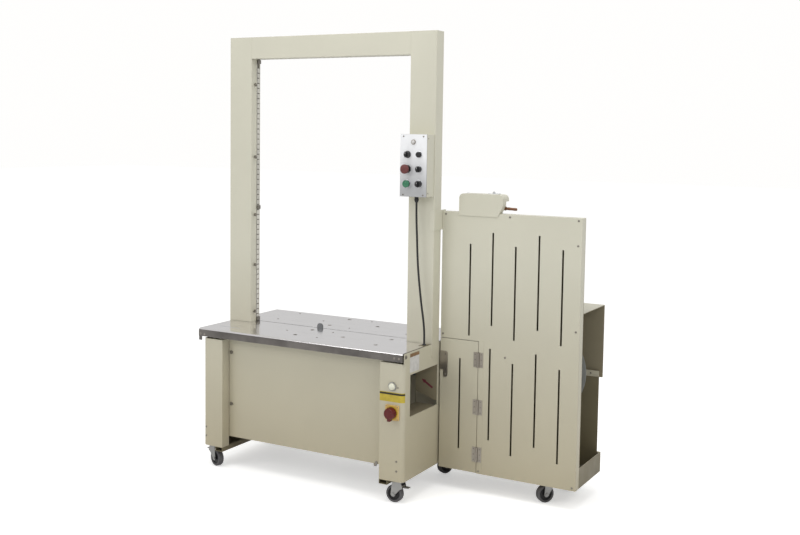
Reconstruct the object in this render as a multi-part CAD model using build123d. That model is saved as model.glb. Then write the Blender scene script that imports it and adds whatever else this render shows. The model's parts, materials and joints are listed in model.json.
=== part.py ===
from build123d import *
import os
from math import atan2, cos, pi, radians, sin, tan

# Arch-type strapping machine with a strap dispenser at its right side.
# The parts are laid out about the arch: x = 0 is the arch's middle, y = 0 the strap's plane,
# z = 0 the floor, +x to the operator's right and +y away from the operator.
# save() moves them along x, so that the written parts stand about the middle of the whole machine.

os.makedirs("parts", exist_ok=True)

# ---------------------------------------------------------------- driving dimensions, mm
SHEET = 3.0                       # folded steel sheet
FIT = 0.05                        # radial clearance of a running pin or shaft

ARCH_HALF = 550.0                 # middle to the columns' outer faces
ARCH_CLEAR = 425.0                # middle to the columns' inner faces
ARCH_FRONT, ARCH_BACK = -57.0, 11.0
ARCH_TOP, BEAM_BOTTOM = 2000.0, 1900.0
DISPENSER_RIGHT = 1190.0
CENTRE_SHIFT = (ARCH_HALF - DISPENSER_RIGHT) / 2

TABLE_TOP, FLANGE_BOTTOM = 650.0, 613.0
TABLE_LEFT, TABLE_RIGHT = -537.0, 541.5
TABLE_FRONT, TABLE_BACK = -306.0, 323.0
SLOT_HALF = 3.0
HINGE_Z = 633.0
FRONT_HINGE_Y, REAR_HINGE_Y = -287.0, 304.0
HINGE_PIN_R = 5.0
EDGE_ROUND = 10.0

FRAME_TOP, COVER_TOP, COVER_BOTTOM = 600.0, 604.0, 101.0
LEG_FRONT, PANEL_FRONT = -299.0, -249.0
LEFT_LEG_OUT, LEFT_LEG_IN = -515.0, -405.0
RIGHT_LEG_OUT, RIGHT_LEG_IN = 547.0, 431.0
LEG_ROUND = 20.0

DISP_LEFT, DISP_FRONT, DISP_BOTTOM, DISP_TOP = 553.0, 18.0, 88.0, 1226.0
POOL_BACK, CABINET_BACK, HOOD_TOP, HOOD_BOTTOM = 58.0, 338.0, 829.0, 508.0
DOOR_TOP, DOOR_HINGE_X, DOOR_HINGE_Y = 671.0, 738.0, 13.0
DOOR_HINGES_Z = (590.0, 382.0, 173.0)

REEL_X, REEL_Z, REEL_R, REEL_SHAFT_R = 928.0, 521.0, 200.0, 15.0

BOX_LEFT, BOX_RIGHT, BOX_BOTTOM, BOX_TOP = 418.0, 546.0, 1292.0, 1558.0
PLATE_FRONT, PLATE_BACK = -127.0, -124.0
BUTTON_X = (454.5, 509.5)
BUTTON_Z = (1472.0, 1410.0, 1347.0)
BUTTON_R = 11.0
LAMP_X, LAMP_Z, LAMP_R = 482.0, 1525.0, 11.0
POWER_LAMP_X, POWER_LAMP_Z, POWER_LAMP_R = 492.0, 506.0, 19.0
SWITCH_X, SWITCH_Z, SWITCH_PLATE, SWITCH_KNOB_R = 494.0, 396.0, 64.0, 26.0

WHEEL_R, WHEEL_W, TRAIL, CASTER_H, AXLE_R = 37.5, 28.0, 17.0, 101.0, 4.0
KINGPIN_R = 6.0
CASTER_PLATE, PLATE_T = 60.0, 4.0

CABLE_D = 9.0
# The cable hangs from the control box's gland to the grommet beside the column's foot.
CABLE_ROUTE = (
    (482.0, -92.0, 1266.0),
    (482.0, -92.0, 1205.0),
    (488.0, -94.0, 1120.0),
    (493.0, -95.0, 1015.0),
    (503.0, -95.0, 915.0),
    (515.0, -94.0, 820.0),
    (526.0, -93.0, 752.0),
    (530.0, -92.0, 700.0),
    (530.0, -92.0, 656.0),
)


# ---------------------------------------------------------------- helpers
def block(x0, x1, y0, y1, z0, z1):
    size = (abs(x1 - x0), abs(y1 - y0), abs(z1 - z0))
    return Pos((x0 + x1) / 2, (y0 + y1) / 2, (z0 + z1) / 2) * Box(*size)


def rod(axis, start, end, u, v, radius):
    """A cylinder along one axis, at (u, v) on the other two in x, y, z order."""
    middle = (start + end) / 2
    length = abs(end - start)
    if axis == "x":
        return Pos(middle, u, v) * Rot(0, 90, 0) * Cylinder(radius, length)
    if axis == "y":
        return Pos(u, middle, v) * Rot(90, 0, 0) * Cylinder(radius, length)
    return Pos(u, v, middle) * Cylinder(radius, length)


def plate_xz(points, y0, y1):
    """A flat plate with its outline in the x-z plane, from y0 to y1."""
    outline = make_face(Polyline(*[(x, y0, z) for x, z in points], close=True))
    return extrude(outline, amount=y1 - y0, dir=(0, 1, 0))


def bar_xz(start, end, width, y0, y1):
    """A straight bar between two (x, z) points, with round ends."""
    (x0, z0), (x1, z1) = start, end
    angle = atan2(z1 - z0, x1 - x0)
    dx, dz = -sin(angle) * width / 2, cos(angle) * width / 2
    upper = [(x0 + dx, z0 + dz), (x1 + dx, z1 + dz)]
    lower = [(x1 - dx, z1 - dz), (x0 - dx, z0 - dz)]
    web = plate_xz(upper + lower, y0, y1)
    return joined(web, rod("y", y0, y1, x0, z0, width / 2), rod("y", y0, y1, x1, z1, width / 2))


def joined(*shapes):
    whole = shapes[0]
    for shape in shapes[1:]:
        whole = whole + shape
    return whole


def round_edges(shape, axis, radius, where):
    """Fillets the straight edges along an axis whose middle passes the test."""
    edges = [e for e in shape.edges().filter_by(axis) if where(e.center())]
    return fillet(edges, radius)


def near(value, target):
    return abs(value - target) < 0.01


def save(name, shape):
    export_step(Pos(CENTRE_SHIFT, 0, 0) * shape, f"parts/{name}.step")


# ---------------------------------------------------------------- base
POST = 40.0
FRAME_LEFT, FRAME_RIGHT, FRAME_DEEP = -506.0, 538.0, 290.0
RAIL_LEVELS = ((150.0, 180.0), (560.0, FRAME_TOP))
CROSS_RAIL_FRONT, CROSS_RAIL_BACK = -246.0, 206.0
HEAD_RAILS_X, HEAD_RAIL_W = (-200.0, 180.0), 20.0

# A sole plate and a tube runner under each leg, as (left, right) along x.
SOLES = ((FRAME_LEFT, -408.0), (434.0, FRAME_RIGHT))
RUNNERS = ((-445.0, LEFT_LEG_IN), (RIGHT_LEG_IN, 471.0))
RUNNER_H, RUNNER_WALL, RUNNER_HALF = 20.0, 2.0, 299.0

# Arms that carry the tables: (left, right, bottom) and (front, back, hinge).
ARM_PLATES = ((-532.0, -516.0, 594.0), (520.0, 536.0, FRAME_TOP))
ARM_REACHES = ((-242.0, -60.0, FRONT_HINGE_Y), (14.0, 259.0, REAR_HINGE_Y))
ARM_TOP, ARM_EYE_R, ARM_HALF = 645.0, 11.0, 242.0
ARM_FOOT_LEFT, ARM_FOOT_RIGHT = -532.0, -466.0

# Pad that fills the worktop's corner beside the column, where the cable goes down.
PAD_LEFT, PAD_RIGHT, PAD_FRONT, PAD_BACK = 516.0, 541.0, -116.0, -62.0


def base_frame():
    """Welded frame: posts, rails, runners under the legs, and the arms that carry the tables."""
    sole_top = COVER_BOTTOM + SHEET
    pieces = []
    for x in (FRAME_LEFT, FRAME_RIGHT - POST):
        for y in (-FRAME_DEEP, FRAME_DEEP - POST):
            pieces.append(block(x, x + POST, y, y + POST, sole_top, FRAME_TOP))
        for z0, z1 in RAIL_LEVELS:
            pieces.append(block(x, x + POST, -FRAME_DEEP, FRAME_DEEP, z0, z1))
    for y in (CROSS_RAIL_FRONT, CROSS_RAIL_BACK):
        for z0, z1 in RAIL_LEVELS:
            pieces.append(block(FRAME_LEFT, FRAME_RIGHT, y, y + POST, z0, z1))
    for x in HEAD_RAILS_X:
        pieces.append(block(x, x + HEAD_RAIL_W, -CROSS_RAIL_BACK, CROSS_RAIL_BACK, *RAIL_LEVELS[1]))
    for sole, (x0, x1) in zip(SOLES, RUNNERS):
        pieces.append(block(*sole, -FRAME_DEEP, FRAME_DEEP, COVER_BOTTOM, sole_top))
        tube = block(x0, x1, -RUNNER_HALF, RUNNER_HALF, COVER_BOTTOM - RUNNER_H, COVER_BOTTOM)
        tube -= block(x0 + RUNNER_WALL, x1 - RUNNER_WALL, -RUNNER_HALF - 1, RUNNER_HALF + 1,
                      COVER_BOTTOM - RUNNER_H + RUNNER_WALL, COVER_BOTTOM - RUNNER_WALL)
        pieces.append(tube)
    for y0, y1, hinge_y in ARM_REACHES:
        for x0, x1, low in ARM_PLATES:
            pieces.append(block(x0, x1, y0, y1, low, ARM_TOP))
            pieces.append(block(x0, x1, min(hinge_y, y0), max(hinge_y, y1),
                                HINGE_Z - ARM_EYE_R, ARM_TOP))
            pieces.append(rod("x", x0, x1, hinge_y, HINGE_Z, ARM_EYE_R))
        pieces.append(block(ARM_FOOT_LEFT, ARM_FOOT_RIGHT, max(y0, -ARM_HALF), min(y1, ARM_HALF),
                            FRAME_TOP, COVER_TOP))
    pieces.append(block(PAD_LEFT, PAD_RIGHT, PAD_FRONT, PAD_BACK, ARM_TOP, TABLE_TOP))
    frame = joined(*pieces)
    for hinge_y in (FRONT_HINGE_Y, REAR_HINGE_Y):
        frame -= rod("x", TABLE_LEFT - SHEET, PAD_RIGHT, hinge_y, HINGE_Z, HINGE_PIN_R + FIT)
    return frame


def leg_cover(outer, inner):
    """A folded sheet that wraps the front leg, the side and the rear leg."""
    side = 1 if outer > inner else -1
    back = -LEG_FRONT
    shell = block(inner, outer, LEG_FRONT, back, COVER_BOTTOM, COVER_TOP)
    shell = round_edges(shell, Axis.Z, LEG_ROUND, lambda c: near(c.X, outer))
    cavity = block(inner + side * SHEET, outer - side * SHEET, LEG_FRONT + SHEET, back - SHEET,
                   COVER_BOTTOM - 5, COVER_TOP - SHEET)
    cavity = round_edges(cavity, Axis.Z, LEG_ROUND - SHEET, lambda c: near(c.X, outer - side * SHEET))
    inboard = block(inner - side, outer - side * SHEET, PANEL_FRONT, -PANEL_FRONT, 90, COVER_TOP + 1)
    return shell - cavity - inboard


def left_side_cover():
    cover = leg_cover(LEFT_LEG_OUT, LEFT_LEG_IN)
    arm_gap = block(ARM_FOOT_LEFT, LEFT_LEG_OUT + 10, PANEL_FRONT, -PANEL_FRONT, FRAME_TOP, COVER_TOP + 1)
    return cover - arm_gap


BAND_TOP, BAND_BACK, BAND_ROUND = 648.0, 320.0, 8.0
WINDOW_FRONT, WINDOW_BACK, WINDOW_BOTTOM, WINDOW_TOP = -245.0, 7.0, 371.0, 551.0
SWITCH_SHAFT_R = 8.0
ARM_GAP_LEFT, ARM_GAP_RIGHT = 517.0, 539.0


def right_side_cover():
    """The right cover, with the band beside the tables and the window for the strap."""
    cover = leg_cover(RIGHT_LEG_OUT, RIGHT_LEG_IN)
    for y0, y1 in ((LEG_FRONT + SHEET, PANEL_FRONT + 1), (-PANEL_FRONT - 1, -LEG_FRONT)):
        cover -= block(ARM_GAP_LEFT, ARM_GAP_RIGHT, y0, y1, FRAME_TOP, COVER_TOP + 1)
    band = block(RIGHT_LEG_OUT - SHEET, RIGHT_LEG_OUT, LEG_FRONT, BAND_BACK, FRAME_TOP, BAND_TOP)
    band = round_edges(band, Axis.X, BAND_ROUND, lambda c: near(c.Z, BAND_TOP))
    window = block(RIGHT_LEG_OUT - 17, RIGHT_LEG_OUT + 13, WINDOW_FRONT, WINDOW_BACK,
                   WINDOW_BOTTOM, WINDOW_TOP)
    cover = cover + band - window
    for hinge_y in (FRONT_HINGE_Y, REAR_HINGE_Y):
        cover -= rod("x", RIGHT_LEG_OUT - 7, RIGHT_LEG_OUT + 3, hinge_y, HINGE_Z, HINGE_PIN_R + FIT)
    return cover - rod("y", LEG_FRONT - 1, LEG_FRONT + SHEET + 1, SWITCH_X, SWITCH_Z,
                       SWITCH_SHAFT_R + FIT)


PANEL_BOTTOM, SEAM = 145.0, 0.5


def base_panel(y0):
    return block(LEFT_LEG_IN + SEAM, RIGHT_LEG_IN - SEAM, y0, y0 + SHEET, PANEL_BOTTOM, COVER_TOP)


CHUTE_LEFT, CHUTE_RIGHT, CHUTE_TOP = 437.0, RIGHT_LEG_OUT - SHEET - 0.1, 558.0
GUIDE_Y, GUIDE_LOW_LEFT, GUIDE_LOW_RIGHT = 8.0, 421.0, 384.0
CHUTE_FLOOR_Z, CHUTE_FLOOR_FRONT = 363.0, -240.0


def strap_chute():
    """Guide plate and floor behind the side window, where the strap enters the machine."""
    outline = [(CHUTE_LEFT, CHUTE_TOP), (CHUTE_RIGHT, CHUTE_TOP),
               (CHUTE_RIGHT, GUIDE_LOW_RIGHT), (CHUTE_LEFT, GUIDE_LOW_LEFT)]
    guide = plate_xz(outline, GUIDE_Y, GUIDE_Y + SHEET)
    floor = block(CHUTE_LEFT, CHUTE_RIGHT, CHUTE_FLOOR_FRONT, GUIDE_Y,
                  CHUTE_FLOOR_Z, CHUTE_FLOOR_Z + SHEET)
    post = block(CHUTE_LEFT, CHUTE_LEFT + SHEET, GUIDE_Y, GUIDE_Y + SHEET,
                 CHUTE_FLOOR_Z, GUIDE_LOW_LEFT)
    return joined(guide, floor, post)


# ---------------------------------------------------------------- arch
TRACK_FRONT, TRACK_T, TRACK_BOTTOM, TRACK_TOP = -15.0, 20.0, 620.0, 1922.0
GROOVE_FRONT, GROOVE_BACK = -10.0, 4.0


def column(side):
    """A closed column with a slot in its inner face for the strap track; side is 1 or -1."""
    shell = block(ARCH_CLEAR, ARCH_HALF, ARCH_FRONT, ARCH_BACK, FRAME_TOP, ARCH_TOP)
    shell = round_edges(shell, Axis.Z, SHEET, lambda c: near(c.X, ARCH_HALF))
    shell -= block(ARCH_CLEAR + SHEET, ARCH_HALF - SHEET, ARCH_FRONT + SHEET, ARCH_BACK - SHEET,
                   FRAME_TOP - 1, ARCH_TOP - SHEET)
    shell -= block(ARCH_CLEAR - 1, ARCH_CLEAR + SHEET + 1, TRACK_FRONT, ARCH_BACK - SHEET,
                   FRAME_TOP - 1, TRACK_TOP + SHEET)
    shell += block(ARCH_HALF - SHEET, ARCH_HALF, ARCH_FRONT + SHEET, ARCH_BACK - SHEET,
                   FRAME_TOP - 10, FRAME_TOP)
    if side > 0:
        shell -= block(RIGHT_LEG_OUT - SHEET - SEAM, RIGHT_LEG_OUT, ARCH_FRONT - SHEET, ARCH_BACK + 4,
                       FRAME_TOP - 1, TABLE_TOP)
        return shell
    return mirror(shell, Plane.YZ)


def top_beam():
    shell = block(-ARCH_CLEAR, ARCH_CLEAR, ARCH_FRONT, ARCH_BACK, BEAM_BOTTOM, ARCH_TOP)
    shell -= block(-ARCH_CLEAR - 1, ARCH_CLEAR + 1, ARCH_FRONT + SHEET, ARCH_BACK - SHEET,
                   BEAM_BOTTOM + SHEET, ARCH_TOP - SHEET)
    return shell - block(-ARCH_CLEAR - 1, ARCH_CLEAR + 1, TRACK_FRONT, ARCH_BACK - SHEET,
                         BEAM_BOTTOM - 1, BEAM_BOTTOM + SHEET + 1)


def strap_track():
    """Grooved bar that runs up the left column, across the beam and down the right column."""
    back = ARCH_BACK - SHEET
    inner = ARCH_CLEAR + 2
    outer = inner + TRACK_T
    bars = [block(x, x + TRACK_T, TRACK_FRONT, back, TRACK_BOTTOM, TRACK_TOP) for x in (-outer, inner)]
    bars.append(block(-outer, outer, TRACK_FRONT, back, TRACK_TOP - TRACK_T, TRACK_TOP))
    track = joined(*bars)
    for x in (-inner - 5, inner - 1):
        track -= block(x, x + 6, GROOVE_FRONT, GROOVE_BACK, TRACK_BOTTOM - 1, TRACK_TOP - 14)
    return track - block(-inner, inner, GROOVE_FRONT, GROOVE_BACK,
                         TRACK_TOP - TRACK_T - 1, TRACK_TOP - TRACK_T + 4)


# ---------------------------------------------------------------- tables
TABLE_HOLE_R = 6.5
NOTCH_X, NOTCH_FRONT, NOTCH_BACK = 422.0, -60.0, 14.0
FRONT_HOLES = ((-68, -202), (-68, -62), (352, -202), (352, -62), (142, -132))
REAR_HOLES = ((-68, 85), (-68, 265), (352, 85), (352, 265), (142, 175))


def table(edge_y, slot_y, hinge_y, holes):
    """Half of the worktop: a stainless tray, open below, that swings up on its outer edge."""
    inward = 1 if slot_y > edge_y else -1
    tray = block(TABLE_LEFT, TABLE_RIGHT, edge_y, slot_y, FLANGE_BOTTOM, TABLE_TOP)
    tray = round_edges(tray, Axis.X, EDGE_ROUND, lambda c: near(c.Y, edge_y) and near(c.Z, TABLE_TOP))
    inner_y = edge_y + inward * SHEET
    cavity = block(TABLE_LEFT + SHEET, TABLE_RIGHT - SHEET, inner_y, slot_y + inward,
                   FLANGE_BOTTOM - 1, TABLE_TOP - SHEET)
    cavity = round_edges(cavity, Axis.X, EDGE_ROUND - SHEET,
                         lambda c: near(c.Y, inner_y) and near(c.Z, TABLE_TOP - SHEET))
    tray -= cavity
    notch_y = (NOTCH_FRONT, 0) if inward > 0 else (0, NOTCH_BACK)
    for side in (-1, 1):
        tray -= block(side * NOTCH_X, side * (ARCH_HALF + 10), *notch_y, FLANGE_BOTTOM - 1, TABLE_TOP + 1)
    tray -= rod("x", TABLE_LEFT - 1, TABLE_RIGHT + 1, hinge_y, HINGE_Z, HINGE_PIN_R + FIT)
    for x, y in holes:
        tray -= rod("z", TABLE_TOP - 5, TABLE_TOP + 1, x, y, TABLE_HOLE_R)
    return tray


def front_table():
    tray = table(TABLE_FRONT, -SLOT_HALF, FRONT_HINGE_Y, FRONT_HOLES)
    return tray - block(PAD_LEFT - 2.5, ARCH_HALF + 10, PAD_FRONT - 2.5, PAD_BACK + 12,
                        FLANGE_BOTTOM - 1, TABLE_TOP + 1)


def rear_table():
    return table(TABLE_BACK, SLOT_HALF, REAR_HINGE_Y, REAR_HOLES)


HINGE_HEAD_R = 8.0


def table_hinge_pins():
    (_, left_in, _), (right_in, _, _) = ARM_PLATES
    left_out = TABLE_LEFT - 1
    pins = []
    for hinge_y in (FRONT_HINGE_Y, REAR_HINGE_Y):
        left = rod("x", left_out, left_in, hinge_y, HINGE_Z, HINGE_PIN_R)
        pins.append(left + rod("x", left_out - 3, left_out, hinge_y, HINGE_Z, HINGE_HEAD_R))
        right = rod("x", right_in, RIGHT_LEG_OUT, hinge_y, HINGE_Z, HINGE_PIN_R)
        pins.append(right + rod("x", RIGHT_LEG_OUT, RIGHT_LEG_OUT + 4, hinge_y, HINGE_Z, HINGE_HEAD_R))
    return Compound(pins)


# ---------------------------------------------------------------- mechanism under the table
CAM_Y, CAM_Z, CAM_SHAFT_R = 0.0, 500.0, 10.0
HEAD_HALF, HEAD_DEPTH, HEAD_WALL, HEAD_BOTTOM = 180.0, 60.0, 12.0, 420.0
HEAD_BARS = (560.0, 590.0)
ANVIL_LEFT, ANVIL_RIGHT, ANVIL_BOTTOM, ANVIL_TOP = -90.0, 60.0, 580.0, 640.0
STOP_LEFT, STOP_RIGHT, STOP_HALF_T, STOP_TOP, STOP_ROUND = -82.0, -50.0, 2.0, 672.0, 14.0
CAM_R, CAM_W = 28.0, 16.0
CAM_THROWS = ((-58.0, 6.0, 0.0), (-8.0, 0.0, 7.0), (42.0, -6.0, 3.0))     # x, dy, dz


def sealing_head():
    """Housing of the sealing press, with the strap's end stop standing up through the slot."""
    clear = HEAD_HALF - HEAD_WALL
    pieces = [block(x, x + HEAD_WALL, -HEAD_DEPTH, HEAD_DEPTH, HEAD_BOTTOM, FRAME_TOP)
              for x in (-HEAD_HALF, clear)]
    pieces.append(block(-clear, clear, -HEAD_DEPTH, HEAD_DEPTH, HEAD_BOTTOM, HEAD_BOTTOM + HEAD_WALL))
    pieces += [block(-clear, clear, y, y + HEAD_WALL, *HEAD_BARS)
               for y in (-HEAD_DEPTH, HEAD_DEPTH - HEAD_WALL)]
    pieces.append(block(ANVIL_LEFT, ANVIL_RIGHT, -HEAD_DEPTH, HEAD_DEPTH, ANVIL_BOTTOM, ANVIL_TOP))
    stop = block(STOP_LEFT, STOP_RIGHT, -STOP_HALF_T, STOP_HALF_T, ANVIL_TOP - 2, STOP_TOP)
    pieces.append(round_edges(stop, Axis.Y, STOP_ROUND, lambda c: near(c.Z, STOP_TOP)))
    housing = joined(*pieces)
    return housing - rod("x", -HEAD_HALF - 10, HEAD_HALF + 10, CAM_Y, CAM_Z, CAM_SHAFT_R + FIT)


def cam_shaft():
    cams = [rod("x", x, x + CAM_W, CAM_Y + dy, CAM_Z + dz, CAM_R) for x, dy, dz in CAM_THROWS]
    return joined(rod("x", 2 - HEAD_HALF, HEAD_HALF - 2, CAM_Y, CAM_Z, CAM_SHAFT_R), *cams)


MOTOR_LEFT, MOTOR_RIGHT, MOTOR_Y, MOTOR_Z, MOTOR_R = 210.0, 370.0, 190.0, 490.0, 50.0


def drive_motor():
    """Motor with a fan cowl at its right end and a saddle that hangs it from the rail."""
    body = rod("x", MOTOR_LEFT, MOTOR_RIGHT, MOTOR_Y, MOTOR_Z, MOTOR_R)
    cowl = rod("x", MOTOR_RIGHT, MOTOR_RIGHT + 30, MOTOR_Y, MOTOR_Z, MOTOR_R - 6)
    saddle = block(MOTOR_LEFT + 40, MOTOR_RIGHT - 50, MOTOR_Y - 10, MOTOR_Y + 42,
                   MOTOR_Z + 40, RAIL_LEVELS[1][0])
    return joined(body, cowl, saddle)


# ---------------------------------------------------------------- control box
BOX_SHEET = 2.0
STEM_END = PLATE_BACK + 12        # how far the buttons' stems reach into the box


def control_box():
    shell = block(BOX_LEFT, BOX_RIGHT, PLATE_BACK, ARCH_FRONT, BOX_BOTTOM, BOX_TOP)
    return shell - block(BOX_LEFT + BOX_SHEET, BOX_RIGHT - BOX_SHEET, PLATE_BACK - 1,
                         ARCH_FRONT - BOX_SHEET, BOX_BOTTOM + BOX_SHEET, BOX_TOP - BOX_SHEET)


def control_plate():
    plate = block(BOX_LEFT, BOX_RIGHT, PLATE_FRONT, PLATE_BACK, BOX_BOTTOM, BOX_TOP)
    for x in BUTTON_X:
        for z in BUTTON_Z:
            plate -= rod("y", PLATE_FRONT - 1, PLATE_BACK + 1, x, z, BUTTON_R + FIT)
    return plate


def push_button(x, z, head_r, head_t, stand_off):
    """A stem through the plate with a round head; stand_off is the gap behind the head."""
    head_back = PLATE_FRONT - stand_off
    head = rod("y", head_back - head_t, head_back, x, z, head_r)
    return head + rod("y", head_back, STEM_END, x, z, BUTTON_R)


GRIP_HALF_W, GRIP_H, KNOB_GAP = 4.0, 9.0, 3.0


def selector(x, z, knob_r, knob_t):
    """A rotary knob with a straight grip across its face."""
    face, back = PLATE_FRONT - knob_t, PLATE_FRONT - KNOB_GAP
    knob = rod("y", face, back, x, z, knob_r)
    grip = block(x - GRIP_HALF_W, x + GRIP_HALF_W, face - GRIP_H, face,
                 z - knob_r + 1, z + knob_r - 1)
    return joined(knob, grip, rod("y", back, STEM_END, x, z, BUTTON_R))


LAMP_H, POWER_LAMP_H, POWER_LAMP_ROUND = 8.0, 18.0, 12.0
GLAND_R, GROMMET_R = 10.0, 9.0


def indicator_lamps():
    small = rod("y", PLATE_FRONT - LAMP_H, PLATE_FRONT, LAMP_X, LAMP_Z, LAMP_R)
    large = rod("y", LEG_FRONT - POWER_LAMP_H, LEG_FRONT, POWER_LAMP_X, POWER_LAMP_Z, POWER_LAMP_R)
    rim = large.edges().filter_by(GeomType.CIRCLE).sort_by(Axis.Y)[0]
    return Compound([small, fillet(rim, POWER_LAMP_ROUND)])


def cable_glands():
    top, bottom = CABLE_ROUTE[0], CABLE_ROUTE[-1]
    gland = rod("z", top[2], BOX_BOTTOM, top[0], top[1], GLAND_R)
    return Compound([gland, rod("z", TABLE_TOP, bottom[2], bottom[0], bottom[1], GROMMET_R)])


def corner_radii(route):
    """The largest arc at each corner: 0.45 of the shorter run over the tangent of half the turn."""
    points = [Vector(*p) for p in route]
    radii = []
    for before, here, after in zip(points, points[1:], points[2:]):
        run_in, run_out = here - before, after - here
        half_turn = radians(run_in.get_angle(run_out)) / 2
        radii.append(0.45 * min(run_in.length, run_out.length) / tan(half_turn))
    return radii


def control_cable():
    radii = corner_radii(CABLE_ROUTE)
    path = FilletPolyline(*CABLE_ROUTE, radius=radii)
    start = Plane(origin=CABLE_ROUTE[0], z_dir=path % 0)
    tube = sweep(start * Circle(CABLE_D / 2), path=path)
    section = pi * CABLE_D ** 2 / 4
    print("cable radii", [round(r) for r in radii], "length", round(path.length, 1),
          "volume ratio", round(tube.volume / (section * path.length), 5))
    return tube


# ---------------------------------------------------------------- main switch
SWITCH_T, SWITCH_ROUND = 8.0, 5.0
KNOB_FACE, KNOB_BACK, KNOB_ROUND = -338.0, -311.0, 4.0
NOSE_HALF_W, NOSE_REACH = 7.0, 32.0


def switch_plate():
    half = SWITCH_PLATE / 2
    plate = block(SWITCH_X - half, SWITCH_X + half, LEG_FRONT - SWITCH_T, LEG_FRONT,
                  SWITCH_Z - half, SWITCH_Z + half)
    plate = round_edges(plate, Axis.Y, SWITCH_ROUND, lambda c: True)
    return plate - rod("y", LEG_FRONT - SWITCH_T - 1, LEG_FRONT + 1, SWITCH_X, SWITCH_Z,
                       SWITCH_SHAFT_R + FIT)


def main_switch_knob():
    knob = rod("y", KNOB_FACE, KNOB_BACK, SWITCH_X, SWITCH_Z, SWITCH_KNOB_R)
    knob = fillet(knob.edges().filter_by(GeomType.CIRCLE).sort_by(Axis.Y)[0], KNOB_ROUND)
    nose = block(SWITCH_X - NOSE_HALF_W, SWITCH_X + NOSE_HALF_W, KNOB_FACE + 2, KNOB_BACK - 3,
                 SWITCH_Z - NOSE_REACH, SWITCH_Z)
    return joined(knob, nose, rod("y", KNOB_BACK, LEG_FRONT - 1, SWITCH_X, SWITCH_Z, SWITCH_SHAFT_R))


# ---------------------------------------------------------------- dispenser
# The pool's viewing slots stand 105 mm apart, every other one lower or higher by SLOT_STEP.
SLOT_W, SLOT_L, SLOT_PITCH, SLOT_STEP = 7.5, 400.0, 105.0, 53.0
UPPER_SLOTS = tuple((690 + SLOT_PITCH * i, 891 + SLOT_STEP * (i % 2)) for i in range(5))
LOWER_SLOTS = tuple((791 + SLOT_PITCH * i, 444 - SLOT_STEP * (i % 2)) for i in range(4))
DOOR_SLOT = (649.0, 387.0)
STRAP_GAP = (742.0, 766.0, 28.0, 52.0)      # where the strap drops into the pool: x, x, y, y
PAN_Z, FOLD_TOP = 101.0, 176.0
HOOD_STEP, REEL_BAY_OPEN = 16.0, 12.0


def long_slot(x, z):
    return block(x - SLOT_W / 2, x + SLOT_W / 2, DISP_FRONT - 1, DISP_FRONT + SHEET + 1,
                 z - SLOT_L / 2, z + SLOT_L / 2)


def dispenser_front():
    """Slotted front panel with folded edges; the lower left corner is left open for the door."""
    tray = block(DISP_LEFT, DISPENSER_RIGHT, DISP_FRONT, POOL_BACK, DISP_BOTTOM, DISP_TOP)
    tray = round_edges(tray, Axis.Z, SHEET, lambda c: near(c.Y, DISP_FRONT))
    tray -= block(DISP_LEFT + SHEET, DISPENSER_RIGHT - SHEET, DISP_FRONT + SHEET, POOL_BACK + 1,
                  DISP_BOTTOM + SHEET, DISP_TOP - SHEET)
    tray -= block(DISP_LEFT - 3, DOOR_HINGE_X - SEAM, DISP_FRONT - 5, POOL_BACK + 1,
                  DISP_BOTTOM - 1, DOOR_TOP)
    tray -= block(*STRAP_GAP, DISP_TOP - 5, DISP_TOP + 1)
    for x, z in UPPER_SLOTS + LOWER_SLOTS:
        tray -= long_slot(x, z)
    return tray


def pool_back_plate():
    return block(DISP_LEFT, DISPENSER_RIGHT, POOL_BACK, POOL_BACK + SHEET, PAN_Z, DISP_TOP)


def dispenser_cabinet():
    """Sheet cabinet behind the strap pool: floor pan, skirts, back and hood, open at the right."""
    front = POOL_BACK + SHEET
    left, right, back = DISP_LEFT + SHEET, DISPENSER_RIGHT, CABINET_BACK
    wall_back = back - HOOD_STEP + SHEET
    pieces = [
        block(left, right, front, back, PAN_Z, PAN_Z + SHEET),
        block(right - SHEET, right, front, back, DISP_BOTTOM, FOLD_TOP),
        block(left, right, back - SHEET, back, DISP_BOTTOM, FOLD_TOP),
        block(left, right - REEL_BAY_OPEN, back - HOOD_STEP, wall_back, PAN_Z, HOOD_BOTTOM + SHEET),
        block(left, right - REEL_BAY_OPEN, back - HOOD_STEP, back, HOOD_BOTTOM, HOOD_BOTTOM + SHEET),
        block(left, right - SHEET, back - HOOD_STEP, back, FOLD_TOP - SHEET, FOLD_TOP),
        block(left, left + SHEET, front, back, DISP_BOTTOM, HOOD_TOP),
        block(left, right, back - SHEET, back, HOOD_BOTTOM, HOOD_TOP),
        block(left, right, front, back, HOOD_TOP - SHEET, HOOD_TOP),
    ]
    return joined(*pieces)


DOOR_T, DOOR_SEAM = 15.0, 2.0


def dispenser_door():
    left, right = DISP_LEFT + SEAM, DOOR_HINGE_X - DOOR_SEAM
    bottom, top = DISP_BOTTOM + DOOR_SEAM, DOOR_TOP - DOOR_SEAM
    tray = block(left, right, DISP_FRONT, DISP_FRONT + DOOR_T, bottom, top)
    tray -= block(left + SHEET, right - SHEET, DISP_FRONT + SHEET, DISP_FRONT + DOOR_T + 1,
                  bottom + SHEET, top - SHEET)
    return tray - long_slot(*DOOR_SLOT)


KNUCKLE_R, DOOR_PIN_R = 5.0, 2.5
LEAF_H, LEAF_W, LEAF_T, LEAF_GAP = 66.0, 21.0, 2.0, 1.5
LEAF_HALF = LEAF_H / 2
KNUCKLE_SPLIT, KNUCKLE_PLAY = 12.0, 0.5     # where the knuckles meet, and the gap between them


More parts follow.
